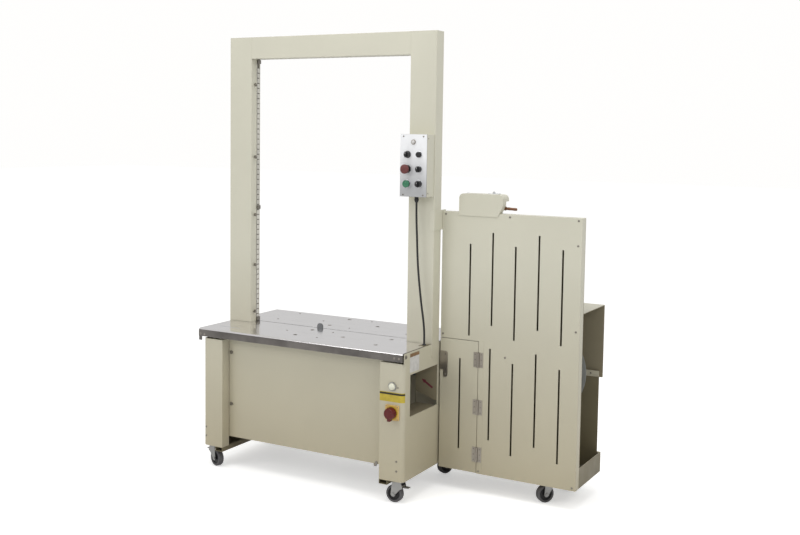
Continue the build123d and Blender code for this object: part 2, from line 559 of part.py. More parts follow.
def hinge_leaf(z, side, knuckles):
    """One leaf on the front face, with its knuckles; side is 1 for the panel, -1 for the door."""
    x0 = DOOR_HINGE_X + side * LEAF_GAP
    leaf = block(x0, x0 + side * LEAF_W, DISP_FRONT - LEAF_T, DISP_FRONT, z - LEAF_HALF, z + LEAF_HALF)
    for z0, z1 in knuckles:
        leaf += rod("z", z + z0, z + z1, DOOR_HINGE_X, DOOR_HINGE_Y, KNUCKLE_R)
        leaf += block(DOOR_HINGE_X, x0, DISP_FRONT - LEAF_T, DISP_FRONT, z + z0, z + z1)
    return leaf


def fixed_hinge_leaves():
    """Panel leaves with outer knuckles and the pins."""
    outer_knuckles = ((-LEAF_HALF, -KNUCKLE_SPLIT), (KNUCKLE_SPLIT, LEAF_HALF))
    leaves = []
    for z in DOOR_HINGES_Z:
        leaf = hinge_leaf(z, 1, outer_knuckles)
        leaf -= rod("z", z - KNUCKLE_SPLIT, z + KNUCKLE_SPLIT, DOOR_HINGE_X, DOOR_HINGE_Y,
                    KNUCKLE_R + KNUCKLE_PLAY)
        leaf += rod("z", z - LEAF_HALF, z + LEAF_HALF, DOOR_HINGE_X, DOOR_HINGE_Y, DOOR_PIN_R)
        leaves.append(leaf)
    return Compound(leaves)


def door_hinge_leaves():
    """Door leaves with the middle knuckle, cut clear of the fixed knuckles."""
    reach = KNUCKLE_SPLIT - KNUCKLE_PLAY
    leaves = []
    for z in DOOR_HINGES_Z:
        leaf = hinge_leaf(z, -1, ((-reach, reach),))
        for z0, z1 in ((-LEAF_HALF - 1, -reach), (reach, LEAF_HALF + 1)):
            leaf -= rod("z", z + z0, z + z1, DOOR_HINGE_X, DOOR_HINGE_Y, KNUCKLE_R + KNUCKLE_PLAY)
        bore = rod("z", z - LEAF_HALF - 1, z + LEAF_HALF + 1, DOOR_HINGE_X, DOOR_HINGE_Y,
                   DOOR_PIN_R + FIT)
        leaves.append(leaf - bore)
    return Compound(leaves)


LATCH_RIGHT, LATCH_BOTTOM, LATCH_TOP, LATCH_ROUND = 591.0, 496.0, 612.0, 12.0
LATCH_STEP_X, LATCH_STEP_Z = 570.0, 528.0


def door_latch_plate():
    """Plate at the door's free edge, stepped at its lower left corner."""
    left = DISP_LEFT + SEAM
    plate = block(left, LATCH_RIGHT, DISP_FRONT - LEAF_T, DISP_FRONT, LATCH_BOTTOM, LATCH_TOP)
    plate = round_edges(plate, Axis.Y, LATCH_ROUND, lambda c: near(c.X, LATCH_RIGHT))
    return plate - block(left - 1, LATCH_STEP_X, DISP_FRONT - LEAF_T - 1, DISP_FRONT + 1,
                         LATCH_BOTTOM - 6, LATCH_STEP_Z)


LINK_BOTTOM, LINK_TOP, LINK_LEFT, LINK_BACK = 1145.0, 1232.0, 530.0, 50.0


def link_bracket():
    """Angle plate that ties the dispenser to the right column."""
    front = ARCH_FRONT - SHEET
    side = block(ARCH_HALF, DISP_LEFT, front, LINK_BACK, LINK_BOTTOM, LINK_TOP)
    return side + block(LINK_LEFT, DISP_LEFT, front, ARCH_FRONT, LINK_BOTTOM, LINK_TOP)


# ---------------------------------------------------------------- strap feed on the dispenser
FEED_X, FEED_Z, FEED_R, FEED_SHAFT_R = 735.0, 1250.0, 18.0, 6.0
PRESS_X, PRESS_R, PRESS_AXLE_R = 768.0, 14.0, 4.0
LEVER_X, LEVER_Z, LEVER_PIN_R = 784.0, 1280.0, 4.0
ROLLER_FRONT, ROLLER_BACK = 26.0, 53.0
SHAFT_FRONT = ROLLER_FRONT - 2

FEED_SHEET = 2.0
FEED_LEFT, FEED_RIGHT, FEED_BOTTOM, FEED_TOP = 633.0, 838.0, 1212.0, 1307.0
FEED_FRONT, FEED_BACK, FEED_ROUND = 15.0, 80.0, 20.0
FEED_CHIN_X, FEED_CHIN_Z = 815.0, 1262.0    # the right side slopes in below this height
LEVER_GAP_LEFT, LEVER_GAP_FRONT, LEVER_GAP_TOP = 790.0, 50.0, 1278.0


def feed_cover():
    """Rounded sheet cover over the feed rollers, open below and behind."""
    outline = [(FEED_LEFT, FEED_BOTTOM), (FEED_LEFT, FEED_TOP), (FEED_RIGHT, FEED_TOP),
               (FEED_RIGHT, FEED_CHIN_Z), (FEED_CHIN_X, FEED_BOTTOM)]
    hood = plate_xz(outline, FEED_FRONT, FEED_BACK)
    hood = round_edges(hood, Axis.Y, FEED_ROUND, lambda c: near(c.Z, FEED_TOP))
    left, right, top = FEED_LEFT + FEED_SHEET, FEED_RIGHT - FEED_SHEET, FEED_TOP - FEED_SHEET
    low = FEED_BOTTOM - 12
    inside = [(left, low), (left, top), (right, top), (right, FEED_CHIN_Z), (FEED_CHIN_X - 7, low)]
    cavity = plate_xz(inside, FEED_FRONT + FEED_SHEET, FEED_BACK + 1)
    cavity = round_edges(cavity, Axis.Y, FEED_ROUND - FEED_SHEET, lambda c: near(c.Z, top))
    hood -= cavity
    hood -= block(FEED_LEFT - 13, FEED_RIGHT + 12, DISP_FRONT - 0.5, FEED_BACK + 10, low, DISP_TOP)
    return hood - block(LEVER_GAP_LEFT, FEED_RIGHT + 12, LEVER_GAP_FRONT, FEED_BACK + 1,
                        low, LEVER_GAP_TOP)


FLANGE_T = 4.0
MOTOR_FLANGE_LEFT, MOTOR_FLANGE_RIGHT, MOTOR_FLANGE_LOW, MOTOR_FLANGE_TOP = 700.0, 800.0, 1180.0, 1292.0
FEED_MOTOR_R, FEED_MOTOR_L = 30.0, 91.0


def feed_motor():
    """Gear motor on a flange behind the pool, with its shaft under the cover."""
    y = POOL_BACK + SHEET
    flange = block(MOTOR_FLANGE_LEFT, MOTOR_FLANGE_RIGHT, y, y + FLANGE_T,
                   MOTOR_FLANGE_LOW, MOTOR_FLANGE_TOP)
    flange -= rod("y", y - 1, y + FLANGE_T + 1, LEVER_X, LEVER_Z, LEVER_PIN_R + FIT)
    body = rod("y", y + FLANGE_T, y + FLANGE_T + FEED_MOTOR_L, FEED_X, FEED_Z, FEED_MOTOR_R)
    return joined(flange, body, rod("y", SHAFT_FRONT, y, FEED_X, FEED_Z, FEED_SHAFT_R))


def roller(x, radius, bore_r):
    bore = rod("y", ROLLER_FRONT - 1, ROLLER_BACK + 1, x, FEED_Z, bore_r + FIT)
    return rod("y", ROLLER_FRONT, ROLLER_BACK, x, FEED_Z, radius) - bore


LEVER_FRONT, LEVER_BACK, LEVER_W, HANDLE_W = 55.0, 60.0, 14.0, 10.0
LEVER_KNEE, LEVER_END = (832.0, 1248.0), (879.0, 1246.0)


def release_lever():
    """Bell crank that carries the pressure roller; its handle sticks out at the right."""
    pivot = (LEVER_X, LEVER_Z)
    arm = joined(bar_xz((PRESS_X, FEED_Z), pivot, LEVER_W, LEVER_FRONT, LEVER_BACK),
                 bar_xz(pivot, LEVER_KNEE, LEVER_W, LEVER_FRONT, LEVER_BACK),
                 bar_xz(LEVER_KNEE, LEVER_END, HANDLE_W, LEVER_FRONT, LEVER_BACK))
    pin = rod("y", LEVER_FRONT, POOL_BACK + SHEET + FLANGE_T, *pivot, LEVER_PIN_R)
    return joined(arm, pin, rod("y", SHAFT_FRONT, LEVER_FRONT, PRESS_X, FEED_Z, PRESS_AXLE_R))


# ---------------------------------------------------------------- reel
REEL_FRONT, REEL_BACK = 92.0, 298.0
CORE_R, CORE_WALL, BUSH_R, HUB_R, HUB_T = 100.0, 4.0, 22.0, 45.0, 6.0


def reel_shaft():
    y = POOL_BACK + SHEET
    shaft = rod("y", y, REEL_BACK + 20, REEL_X, REEL_Z, REEL_SHAFT_R)
    return shaft + rod("y", y, y + HUB_T, REEL_X, REEL_Z, HUB_R)


def strap_reel():
    """Empty reel: two flanges, the core tube and the bush that turns on the shaft."""
    core_front, core_back = REEL_FRONT + SHEET, REEL_BACK - SHEET
    flanges = [rod("y", y, y + SHEET, REEL_X, REEL_Z, REEL_R) for y in (REEL_FRONT, core_back)]
    core = rod("y", core_front, core_back, REEL_X, REEL_Z, CORE_R)
    core -= rod("y", core_front - 1, core_back + 1, REEL_X, REEL_Z, CORE_R - CORE_WALL)
    bush = rod("y", REEL_FRONT - 2, REEL_BACK + 2, REEL_X, REEL_Z, BUSH_R)
    body = joined(*flanges, core, bush)
    return body - rod("y", REEL_FRONT - 12, REEL_BACK + 12, REEL_X, REEL_Z, REEL_SHAFT_R + FIT)


# ---------------------------------------------------------------- casters
# name: stem x, stem y, direction in which the wheel trails (degrees from +x), with brake
CASTERS = {
    "front_left": (-479, -257, -19, True),
    "front_right": (505, -257, 180, True),
    "rear_left": (-479, 215, 35, False),
    "rear_right": (505, 215, 242, False),
    "dispenser_front": (1046, 88, 228, False),
    "dispenser_rear": (1046, 285, 325, False),
}
CHEEK_IN, CHEEK_OUT = 16.0, 19.0
CROWN_R, CROWN_BOTTOM, SWIVEL_GAP = 26.0, 90.0, 0.3
AXLE_OUT, AXLE_BOSS_R = 21.0, 11.0
TYRE_ROUND, WHEEL_HUB_R, WHEEL_HUB_HALF = 5.0, 10.0, 15.5
BRAKE_T, BRAKE_Z, BRAKE_PIN_R = -20.0, 72.0, 2.5
PEDAL_END, PEDAL_HALF_W, PEDAL_T, PEDAL_EYE_R, PEDAL_EYE_HALF = -51.0, 12.0, 3.0, 5.0, 14.0

# The cheeks' outline in the caster's own frame: the top, the rear edge, then the axle.
CHEEK_TOP = ((22.0, 91.0), (-19.0, 91.0))
PLAIN_REAR = ((-14.0, 70.0),)
BRAKE_EAR = ((-26.0, 76.0), (-26.0, 66.0), (-16.0, 62.0))
CHEEK_AXLE = ((TRAIL - AXLE_BOSS_R, WHEEL_R), (TRAIL + AXLE_BOSS_R, WHEEL_R))


def placed(name, shape):
    x, y, angle, _ = CASTERS[name]
    return Pos(x, y, 0) * Rot(0, 0, angle) * shape


def caster_fork(with_brake):
    """Local frame: the stem is on z, the wheel trails along +x and its axle is along y."""
    crown_top = CASTER_H - PLATE_T - SWIVEL_GAP
    outline = CHEEK_TOP + (BRAKE_EAR if with_brake else PLAIN_REAR) + CHEEK_AXLE
    pieces = [rod("z", CROWN_BOTTOM, crown_top, 0, 0, CROWN_R),
              rod("z", crown_top, CASTER_H - 0.2, 0, 0, KINGPIN_R),
              rod("y", -AXLE_OUT, AXLE_OUT, TRAIL, WHEEL_R, AXLE_R)]
    for y0, y1 in ((-CHEEK_OUT, -CHEEK_IN), (CHEEK_IN, CHEEK_OUT)):
        pieces += [plate_xz(outline, y0, y1), rod("y", y0, y1, TRAIL, WHEEL_R, AXLE_BOSS_R)]
    if with_brake:
        pieces.append(rod("y", -CHEEK_OUT, CHEEK_OUT, BRAKE_T, BRAKE_Z, BRAKE_PIN_R))
    return joined(*pieces)


def caster_wheel():
    tyre = rod("y", -WHEEL_W / 2, WHEEL_W / 2, TRAIL, WHEEL_R, WHEEL_R)
    tyre = fillet(tyre.edges().filter_by(GeomType.CIRCLE), TYRE_ROUND)
    hub = rod("y", -WHEEL_HUB_HALF, WHEEL_HUB_HALF, TRAIL, WHEEL_R, WHEEL_HUB_R)
    return tyre + hub - rod("y", -CHEEK_IN, CHEEK_IN, TRAIL, WHEEL_R, AXLE_R + FIT)


def brake_pedal():
    eye = rod("y", -PEDAL_EYE_HALF, PEDAL_EYE_HALF, BRAKE_T, BRAKE_Z, PEDAL_EYE_R)
    pedal = eye + block(PEDAL_END, BRAKE_T, -PEDAL_HALF_W, PEDAL_HALF_W, BRAKE_Z - PEDAL_T, BRAKE_Z)
    return pedal - rod("y", -PEDAL_EYE_HALF - 1, PEDAL_EYE_HALF + 1, BRAKE_T, BRAKE_Z,
                       BRAKE_PIN_R + FIT)


def caster_plates():
    plates = []
    half = CASTER_PLATE / 2
    for x, y, _, _ in CASTERS.values():
        plate = block(x - half, x + half, y - half, y + half, CASTER_H - PLATE_T, CASTER_H)
        plates.append(plate - rod("z", CASTER_H - PLATE_T - 1, CASTER_H + 1, x, y, KINGPIN_R + FIT))
    return Compound(plates)


# ---------------------------------------------------------------- fasteners
SCREW_R, SCREW_H = 4.5, 2.0
DISPENSER_SCREWS = ((570, 1215), (871, 1215), (1174, 1215), (1174, 1112), (1174, 756), (1174, 100),
                    (862, 614), (565, 688), (748, 100))
LEG_SCREWS = ((515.5, 188), (515.5, 146), (-498, 188), (-498, 146))
PLATE_SCREWS = ((434, 1549), (530, 1549), (434, 1300), (530, 1300))
PANEL_CATCHES = ((-391, 542), (-391, 300))
STRIP_SCREWS_Y, STRIP_SCREWS_Z = -36.0, (700.0, 925.0, 1165.0, 1440.0, 1780.0)
CATCH_R, CATCH_H, TONGUE_H, TONGUE_BACK, TONGUE_TIP = 8.0, 4.0, 4.0, 3.0, 12.0


def screw_heads(places, face_y, radius):
    return [rod("y", face_y - SCREW_H, face_y, x, z, radius) for x, z in places]


def panel_screws():
    screws = screw_heads(DISPENSER_SCREWS, DISP_FRONT, SCREW_R)
    screws += screw_heads(LEG_SCREWS, LEG_FRONT, SCREW_R)
    screws += screw_heads(PLATE_SCREWS, PLATE_FRONT, SCREW_R - 1)
    head_face = PANEL_FRONT - CATCH_H
    for x, z in PANEL_CATCHES:
        head = rod("y", head_face, PANEL_FRONT, x, z, CATCH_R)
        screws.append(head + block(x - TONGUE_BACK, x + TONGUE_TIP, head_face - TONGUE_H, head_face,
                                   z - TONGUE_BACK, z + TONGUE_BACK))
    for z in STRIP_SCREWS_Z:
        for side in (-1, 1):
            screws.append(rod("x", side * (ARCH_CLEAR - SCREW_H), side * ARCH_CLEAR,
                              STRIP_SCREWS_Y, z, SCREW_R - 1))
    return Compound(screws)


# ---------------------------------------------------------------- write the parts
NODES = {
    "base_frame": base_frame(),
    "left_side_cover": left_side_cover(),
    "right_side_cover": right_side_cover(),
    "front_panel": base_panel(PANEL_FRONT),
    "rear_panel": base_panel(-PANEL_FRONT - SHEET),
    "strap_chute": strap_chute(),
    "left_column": column(-1),
    "right_column": column(1),
    "top_beam": top_beam(),
    "strap_track": strap_track(),
    "front_table": front_table(),
    "rear_table": rear_table(),
    "table_hinge_pins": table_hinge_pins(),
    "sealing_head": sealing_head(),
    "cam_shaft": cam_shaft(),
    "drive_motor": drive_motor(),
    "control_box": control_box(),
    "control_plate": control_plate(),
    "mode_selector": selector(BUTTON_X[0], BUTTON_Z[0], knob_r=13.5, knob_t=16),
    "reset_button": push_button(BUTTON_X[1], BUTTON_Z[0], head_r=12, head_t=4, stand_off=7),
    "estop_button": push_button(BUTTON_X[0], BUTTON_Z[1], head_r=20, head_t=14, stand_off=20),
    "feed_selector": selector(BUTTON_X[1], BUTTON_Z[1], knob_r=13.5, knob_t=14),
    "start_button": push_button(BUTTON_X[0], BUTTON_Z[2], head_r=16, head_t=8, stand_off=12),
    "tension_dial": selector(BUTTON_X[1], BUTTON_Z[2], knob_r=14.5, knob_t=14),
    "indicator_lamps": indicator_lamps(),
    "cable_glands": cable_glands(),
    "control_cable": control_cable(),
    "switch_plate": switch_plate(),
    "main_switch_knob": main_switch_knob(),
    "dispenser_front": dispenser_front(),
    "pool_back_plate": pool_back_plate(),
    "dispenser_cabinet": dispenser_cabinet(),
    "dispenser_door": dispenser_door(),
    "fixed_hinge_leaves": fixed_hinge_leaves(),
    "door_hinge_leaves": door_hinge_leaves(),
    "door_latch_plate": door_latch_plate(),
    "link_bracket": link_bracket(),
    "feed_cover": feed_cover(),
    "feed_motor": feed_motor(),
    "feed_roller": roller(FEED_X, FEED_R, FEED_SHAFT_R),
    "pressure_roller": roller(PRESS_X, PRESS_R, PRESS_AXLE_R),
    "release_lever": release_lever(),
    "reel_shaft": reel_shaft(),
    "strap_reel": strap_reel(),
    "caster_plates": caster_plates(),
    "panel_screws": panel_screws(),
}
for caster, (_, _, _, has_brake) in CASTERS.items():
    NODES[f"{caster}_fork"] = placed(caster, caster_fork(has_brake))
    NODES[f"{caster}_wheel"] = placed(caster, caster_wheel())
    if has_brake:
        NODES[f"{caster}_brake"] = placed(caster, brake_pedal())

for node, solid in NODES.items():
    save(node, solid)
print(len(NODES), "nodes written")
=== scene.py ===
# %% [markdown]
# # An arch strapping machine with its strap dispenser
# The machine's frame, joints and sizes come from its CAD model. This lesson gives it its looks:
# broken edges on the folded sheets, real knobs, lamps, casters and hinges, and the finishes.
# Everything is in metres, with +X to the operator's right, +Y away from the operator and +Z up.

# %% Load the frame
import json
from math import cos, pi, radians, sin

import bpy
from mathutils import Matrix, Vector


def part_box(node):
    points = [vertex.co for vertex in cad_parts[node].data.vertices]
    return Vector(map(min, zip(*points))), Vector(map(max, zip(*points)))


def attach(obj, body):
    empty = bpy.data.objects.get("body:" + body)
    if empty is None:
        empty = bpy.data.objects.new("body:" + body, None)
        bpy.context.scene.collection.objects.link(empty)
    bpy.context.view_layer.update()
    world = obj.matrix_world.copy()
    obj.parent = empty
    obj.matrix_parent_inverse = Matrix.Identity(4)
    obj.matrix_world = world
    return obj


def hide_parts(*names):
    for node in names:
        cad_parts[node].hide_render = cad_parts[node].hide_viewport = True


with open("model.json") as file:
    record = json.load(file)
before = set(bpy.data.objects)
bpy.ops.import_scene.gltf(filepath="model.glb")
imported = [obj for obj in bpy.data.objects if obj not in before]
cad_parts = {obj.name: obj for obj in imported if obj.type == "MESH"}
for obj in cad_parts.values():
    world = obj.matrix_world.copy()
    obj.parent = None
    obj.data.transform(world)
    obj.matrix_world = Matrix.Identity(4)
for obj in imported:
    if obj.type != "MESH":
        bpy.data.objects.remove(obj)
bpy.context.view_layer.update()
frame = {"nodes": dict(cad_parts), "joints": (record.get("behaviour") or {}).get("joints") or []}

# %% [markdown]
# ## Places
# A piece goes where the CAD says, so places are read from the boxes of the nodes. The machine is
# seen from the front right, so most of the fine work is on the faces towards -Y and +X.

# %% Read places from the nodes
MM = 0.001
LEFT, RIGHT = -1, 1
TO_FRONT, TO_RIGHT, UP = Vector((0, -1, 0)), Vector((1, 0, 0)), Vector((0, 0, 1))


def low(node):
    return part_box(node)[0]


def high(node):
    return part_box(node)[1]


def centre_of(box):
    return (box[0] + box[1]) / 2


def middle(node):
    return centre_of(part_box(node))


ARCH_X = middle("top_beam").x


def at(x, y, z):
    """A place from mm: x from the arch's middle, y from the strap's plane, z from the floor."""
    return Vector((ARCH_X + x * MM, y * MM, z * MM))


def seat(node, behind):
    """Where a control's axis meets the front face of the plate behind it."""
    return Vector((middle(node).x, low(behind).y, middle(node).z))


print("arch middle at x =", round(ARCH_X, 4))

# %% [markdown]
# ## The camera
# It stands to the front right of the machine at about eye height, almost level, far enough away to
# see the whole machine. The lens is shifted down a little, so that the columns stay upright.

# %% Camera
camera_data = bpy.data.cameras.new("camera")
camera = bpy.data.objects.new("camera", camera_data)
bpy.context.scene.collection.objects.link(camera)
bpy.context.scene.camera = camera

yaw, pitch, roll = radians(29.43), radians(4.5), radians(0.77)
forward = Vector((-sin(yaw) * cos(pitch), cos(yaw) * cos(pitch), -sin(pitch)))
level = Vector((cos(yaw), sin(yaw), 0))
upright = level.cross(forward)
side = level * cos(roll) + upright * sin(roll)
top = upright * cos(roll) - level * sin(roll)
turn = Matrix((side, top, -forward)).transposed().to_4x4()
camera.matrix_world = Matrix.Translation((2.313, -4.133, 1.567)) @ turn
camera_data.sensor_width = 36.0
camera_data.lens = 48.02
camera_data.shift_x, camera_data.shift_y = 0.0122, -0.0646
camera_data.clip_end = 60.0
print("camera looks along", tuple(round(v, 3) for v in forward))

# %% [markdown]
# ## Modelling tools
# Four ways of working repeat all through the machine. A turned piece grows from a disc by
# extruding and scaling its end face, as on a lathe. A block is a cube with its edges bevelled.
# An outline is a flat face that is given a thickness. And a folded sheet is the CAD piece's own
# shape, copied, merged and given broken edges, so that they catch the light.


# %% Selecting and applying
def deselect():
    bpy.ops.object.select_all(action="DESELECT")


def only(piece):
    deselect()
    piece.select_set(True)
    bpy.context.view_layer.objects.active = piece


def edit(piece):
    only(piece)
    bpy.ops.object.mode_set(mode="EDIT")
    bpy.ops.mesh.select_all(action="SELECT")


def leave_edit():
    bpy.ops.object.mode_set(mode="OBJECT")


def apply_modifiers(piece):
    only(piece)
    for modifier in list(piece.modifiers):
        bpy.ops.object.modifier_apply(modifier=modifier.name)


def break_edges(piece, width, segments=2, angle=35):
    bevel = piece.modifiers.new("broken_edges", "BEVEL")
    bevel.width = width
    bevel.segments = segments
    bevel.limit_method = "ANGLE"
    bevel.angle_limit = radians(angle)
    apply_modifiers(piece)


def smooth(piece, angle=32):
    """Smooth shading in which the large flat faces keep their own direction."""
    only(piece)
    bpy.ops.object.shade_smooth_by_angle(angle=radians(angle))
    weighted = piece.modifiers.new("weighted_normals", "WEIGHTED_NORMAL")
    weighted.keep_sharp = True
    weighted.weight = 100
    apply_modifiers(piece)


# %% Turned pieces, blocks and outlines
def disc(name, sides, radius):
    """A flat round face on z = 0, radius in metres."""
    deselect()
    bpy.ops.mesh.primitive_circle_add(vertices=sides, radius=radius, fill_type="NGON")
    piece = bpy.context.object
    piece.name = name
    return piece


def raise_by(height):
    """Extrudes the selected faces upwards by a height in mm."""
    bpy.ops.mesh.extrude_region_move(TRANSFORM_OT_translate={"value": (0, 0, height * MM)})


def leave_outward():
    """Leaves edit mode with all faces pointing outwards."""
    bpy.ops.mesh.select_all(action="SELECT")
    bpy.ops.mesh.normals_make_consistent(inside=False)
    leave_edit()


def turned(name, profile, sides=40):
    """A piece along +Z from a profile of (radius, height) in mm, bottom face first."""
    radius, height = profile[0]
    piece = disc(name, sides, radius * MM)
    edit(piece)
    if height:
        bpy.ops.transform.translate(value=(0, 0, height * MM))
    for next_radius, next_height in profile[1:]:
        raise_by(next_height - height)
        scale = next_radius / radius
        bpy.ops.transform.resize(value=(scale, scale, 1), center_override=(0, 0, next_height * MM))
        radius, height = next_radius, next_height
    leave_outward()
    return piece


def block(name, lowest, highest, edge=0.0, segments=2):
    """A cube between two corners, in metres, with its edges bevelled."""
    deselect()
    lowest, highest = Vector(lowest), Vector(highest)
    bpy.ops.mesh.primitive_cube_add(size=1, location=(lowest + highest) / 2)
    piece = bpy.context.object
    piece.name = name
    piece.scale = highest - lowest
    bpy.ops.object.transform_apply(location=True, rotation=True, scale=True)
    if edge:
        break_edges(piece, edge, segments)
    return piece


def outline(name, corners, thickness):
    """A flat plate on z = 0 with these (x, y) corners in mm, going round, given a thickness."""
    piece = disc(name, len(corners), 1)
    for vertex, (x, y) in zip(piece.data.vertices, corners):
        vertex.co = (x * MM, y * MM, 0)
    edit(piece)
    raise_by(thickness)
    leave_outward()
    return piece


def ring(name, outer, inner, height, edge, sides=40, segments=2):
    """A flat ring on z = 0, sizes in mm: a disc is inset, its middle taken out, the rest raised."""
    piece = disc(name, sides, outer * MM)
    edit(piece)
    bpy.ops.mesh.inset(thickness=(outer - inner) * cos(pi / sides) * MM)
    bpy.ops.mesh.delete(type="FACE")
    bpy.ops.mesh.select_all(action="SELECT")
    raise_by(height)
    leave_outward()
    break_edges(piece, edge * MM, segments, 50)
    return piece


def put(piece, place, along=UP, spin=0.0):
    """Turns a piece from +Z to its direction, moves it to its place and applies both."""
    swing = UP.rotation_difference(Vector(along)).to_matrix().to_4x4()
    move = Matrix.Translation(Vector(place)) @ swing @ Matrix.Rotation(radians(spin), 4, "Z")
    piece.data.transform(move)
    return piece


def another(piece):
    """A copy of a piece with its own mesh."""
    copy = piece.copy()
    copy.data = piece.data.copy()
    bpy.context.scene.collection.objects.link(copy)
    return copy


def spread(piece, places, along=UP):
    """Copies of a piece at many places, as a list; the pattern piece is used up."""
    made = [put(another(piece), place, along) for place in places]
    bpy.data.objects.remove(piece)
    return made


def around(piece, steps, angle):
    """Copies of a piece round the Z axis, an angle in degrees apart; the pattern is used up."""
    made = [put(another(piece), (0, 0, 0), UP, angle * step) for step in steps]
    bpy.data.objects.remove(piece)
    return made


def bolt_circle(centre, radius, angles):
    """Places on a circle that faces the front, radius in metres and angles in degrees."""
    return [centre + Vector((radius * cos(radians(angle)), 0, radius * sin(radians(angle))))
            for angle in angles]


def copies(piece, name, places, along=UP):
    """Copies of a piece at many places, joined into one object."""
    return joined(name, spread(piece, places, along))


def coated(piece, material):
    piece.data.materials.clear()
    piece.data.materials.append(material)
    return piece


def joined(name, pieces):
    deselect()
    for piece in pieces:
        piece.select_set(True)
    bpy.context.view_layer.objects.active = pieces[0]
    if len(pieces) > 1:
        bpy.ops.object.join()
    whole = bpy.context.view_layer.objects.active
    whole.name = name
    return whole


# %% Folded sheets from the CAD shape
def refined(node, edge, segments=2):
    """The CAD piece's shape with its doubles merged and its edges broken, as a new piece."""
    piece = bpy.data.objects.new(node + "_finished", frame["nodes"][node].data.copy())
    bpy.context.scene.collection.objects.link(piece)
    edit(piece)
    bpy.ops.mesh.remove_doubles(threshold=0.00001)
    bpy.ops.mesh.dissolve_limited(angle_limit=radians(0.5))
    leave_edit()
    if edge:
        break_edges(piece, edge, segments)
    return piece


def solids_of(node):
    """The boxes of a node's separate solids, as (lowest, highest) corners, from left to right."""
    whole = refined(node, 0)
    edit(whole)
    bpy.ops.mesh.separate(type="LOOSE")
    leave_edit()
    boxes = []
    for solid in list(bpy.context.selected_objects):
        points = [vertex.co for vertex in solid.data.vertices]
        lowest = Vector([min(point[axis] for point in points) for axis in range(3)])
        highest = Vector([max(point[axis] for point in points) for axis in range(3)])
        boxes.append((lowest, highest))
        bpy.data.objects.remove(solid)
    return sorted(boxes, key=lambda box: tuple(round(value, 4) for value in box[0]))


def finish(piece, body, material, slot, *nodes):
    """Gives a finished piece its material and body, and hides the CAD nodes that it stands for; the
    slot is not used.
    """
    if material is not None:
        coated(piece, material)
    smooth(piece)
    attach(piece, body)
    if nodes:
        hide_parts(*nodes)
    return piece


# %% [markdown]
# ## Materials
# Each finish is built from noise on the piece's own Object coordinates, in metres, so that its
# grain has a real size: powder coat has an orange-peel skin of about a millimetre, brushed steel
# has long scratches along the sheet, zinc has a soft spangle, and mouldings have a fine texture.


# %% Node helpers
def blank(name, metallic, ior=1.5):
    """A new material with only its shader; the values that are the same all over are set on it."""
    material = bpy.data.materials.new(name)
    material.use_nodes = True
    shader = material.node_tree.nodes["Principled BSDF"]
    shader.inputs["Metallic"].default_value = metallic
    shader.inputs["IOR"].default_value = ior
    return material, shader


def node_of(material, kind):
    return material.node_tree.nodes.new("ShaderNode" + kind)


def feed(material, output, socket):
    material.node_tree.links.new(output, socket)


def pattern(material, stretch, scale, detail=3.0, roughness=0.5):
    """Noise on Object coordinates; stretch makes it longer along an axis where it is under 1."""
    place = node_of(material, "TexCoord")
    mapping = node_of(material, "Mapping")
    mapping.inputs["Scale"].default_value = stretch
    noise = node_of(material, "TexNoise")
    noise.inputs["Scale"].default_value = scale
    noise.inputs["Detail"].default_value = detail
    noise.inputs["Roughness"].default_value = roughness
    feed(material, place.outputs["Object"], mapping.inputs["Vector"])
    feed(material, mapping.outputs["Vector"], noise.inputs["Vector"])
    return noise.outputs["Fac"]


def between(material, factor, low_value, high_value, edges=(0.3, 0.7)):
    """Maps a pattern to a range of numbers."""
    ranged = node_of(material, "MapRange")
    ranged.inputs["From Min"].default_value, ranged.inputs["From Max"].default_value = edges
    ranged.inputs["To Min"].default_value = low_value
    ranged.inputs["To Max"].default_value = high_value
    feed(material, factor, ranged.inputs["Value"])
    return ranged.outputs["Result"]


def blended(material, factor, first, second, edges=(0.35, 0.65)):
    """Maps a pattern to colours between two."""
    ramp = node_of(material, "ValToRGB")
    for stop, position, colour in zip(ramp.color_ramp.elements, edges, (first, second)):
        stop.position = position
        stop.color = (*colour, 1)
    feed(material, factor, ramp.inputs["Fac"])
    return ramp.outputs["Color"]


def multiplied(material, first, second):
    mix = node_of(material, "Mix")
    mix.data_type = "RGBA"
    mix.blend_type = "MULTIPLY"
    mix.inputs["Factor"].default_value = 1.0
    feed(material, first, mix.inputs["A"])
    feed(material, second, mix.inputs["B"])
    return mix.outputs["Result"]


def height_of(material):
    place = node_of(material, "TexCoord")
    split = node_of(material, "SeparateXYZ")
    feed(material, place.outputs["Object"], split.inputs["Vector"])
    return split.outputs["Z"]


def skin(material, shader, pattern_out, strength, depth):
    """A bump of a pattern, depth in metres."""
    bump = node_of(material, "Bump")
    bump.inputs["Strength"].default_value = strength
    bump.inputs["Distance"].default_value = depth
    feed(material, pattern_out, bump.inputs["Height"])
    feed(material, bump.outputs["Normal"], shader.inputs["Normal"])


EVEN = (1, 1, 1)


# %% [markdown]
# ### Painted sheet
# Cream powder coat. Large soft patches change its tone a little, the colour is painted darker
# towards the floor in its lowest metre as painted shade, and a fine orange-peel skin breaks up
# the reflections. Paint that is only a flat colour looks like a drawing.

# %% Powder coat
SHADE_TOP = 1.0              # height in metres above which no painted shade darkens the coat
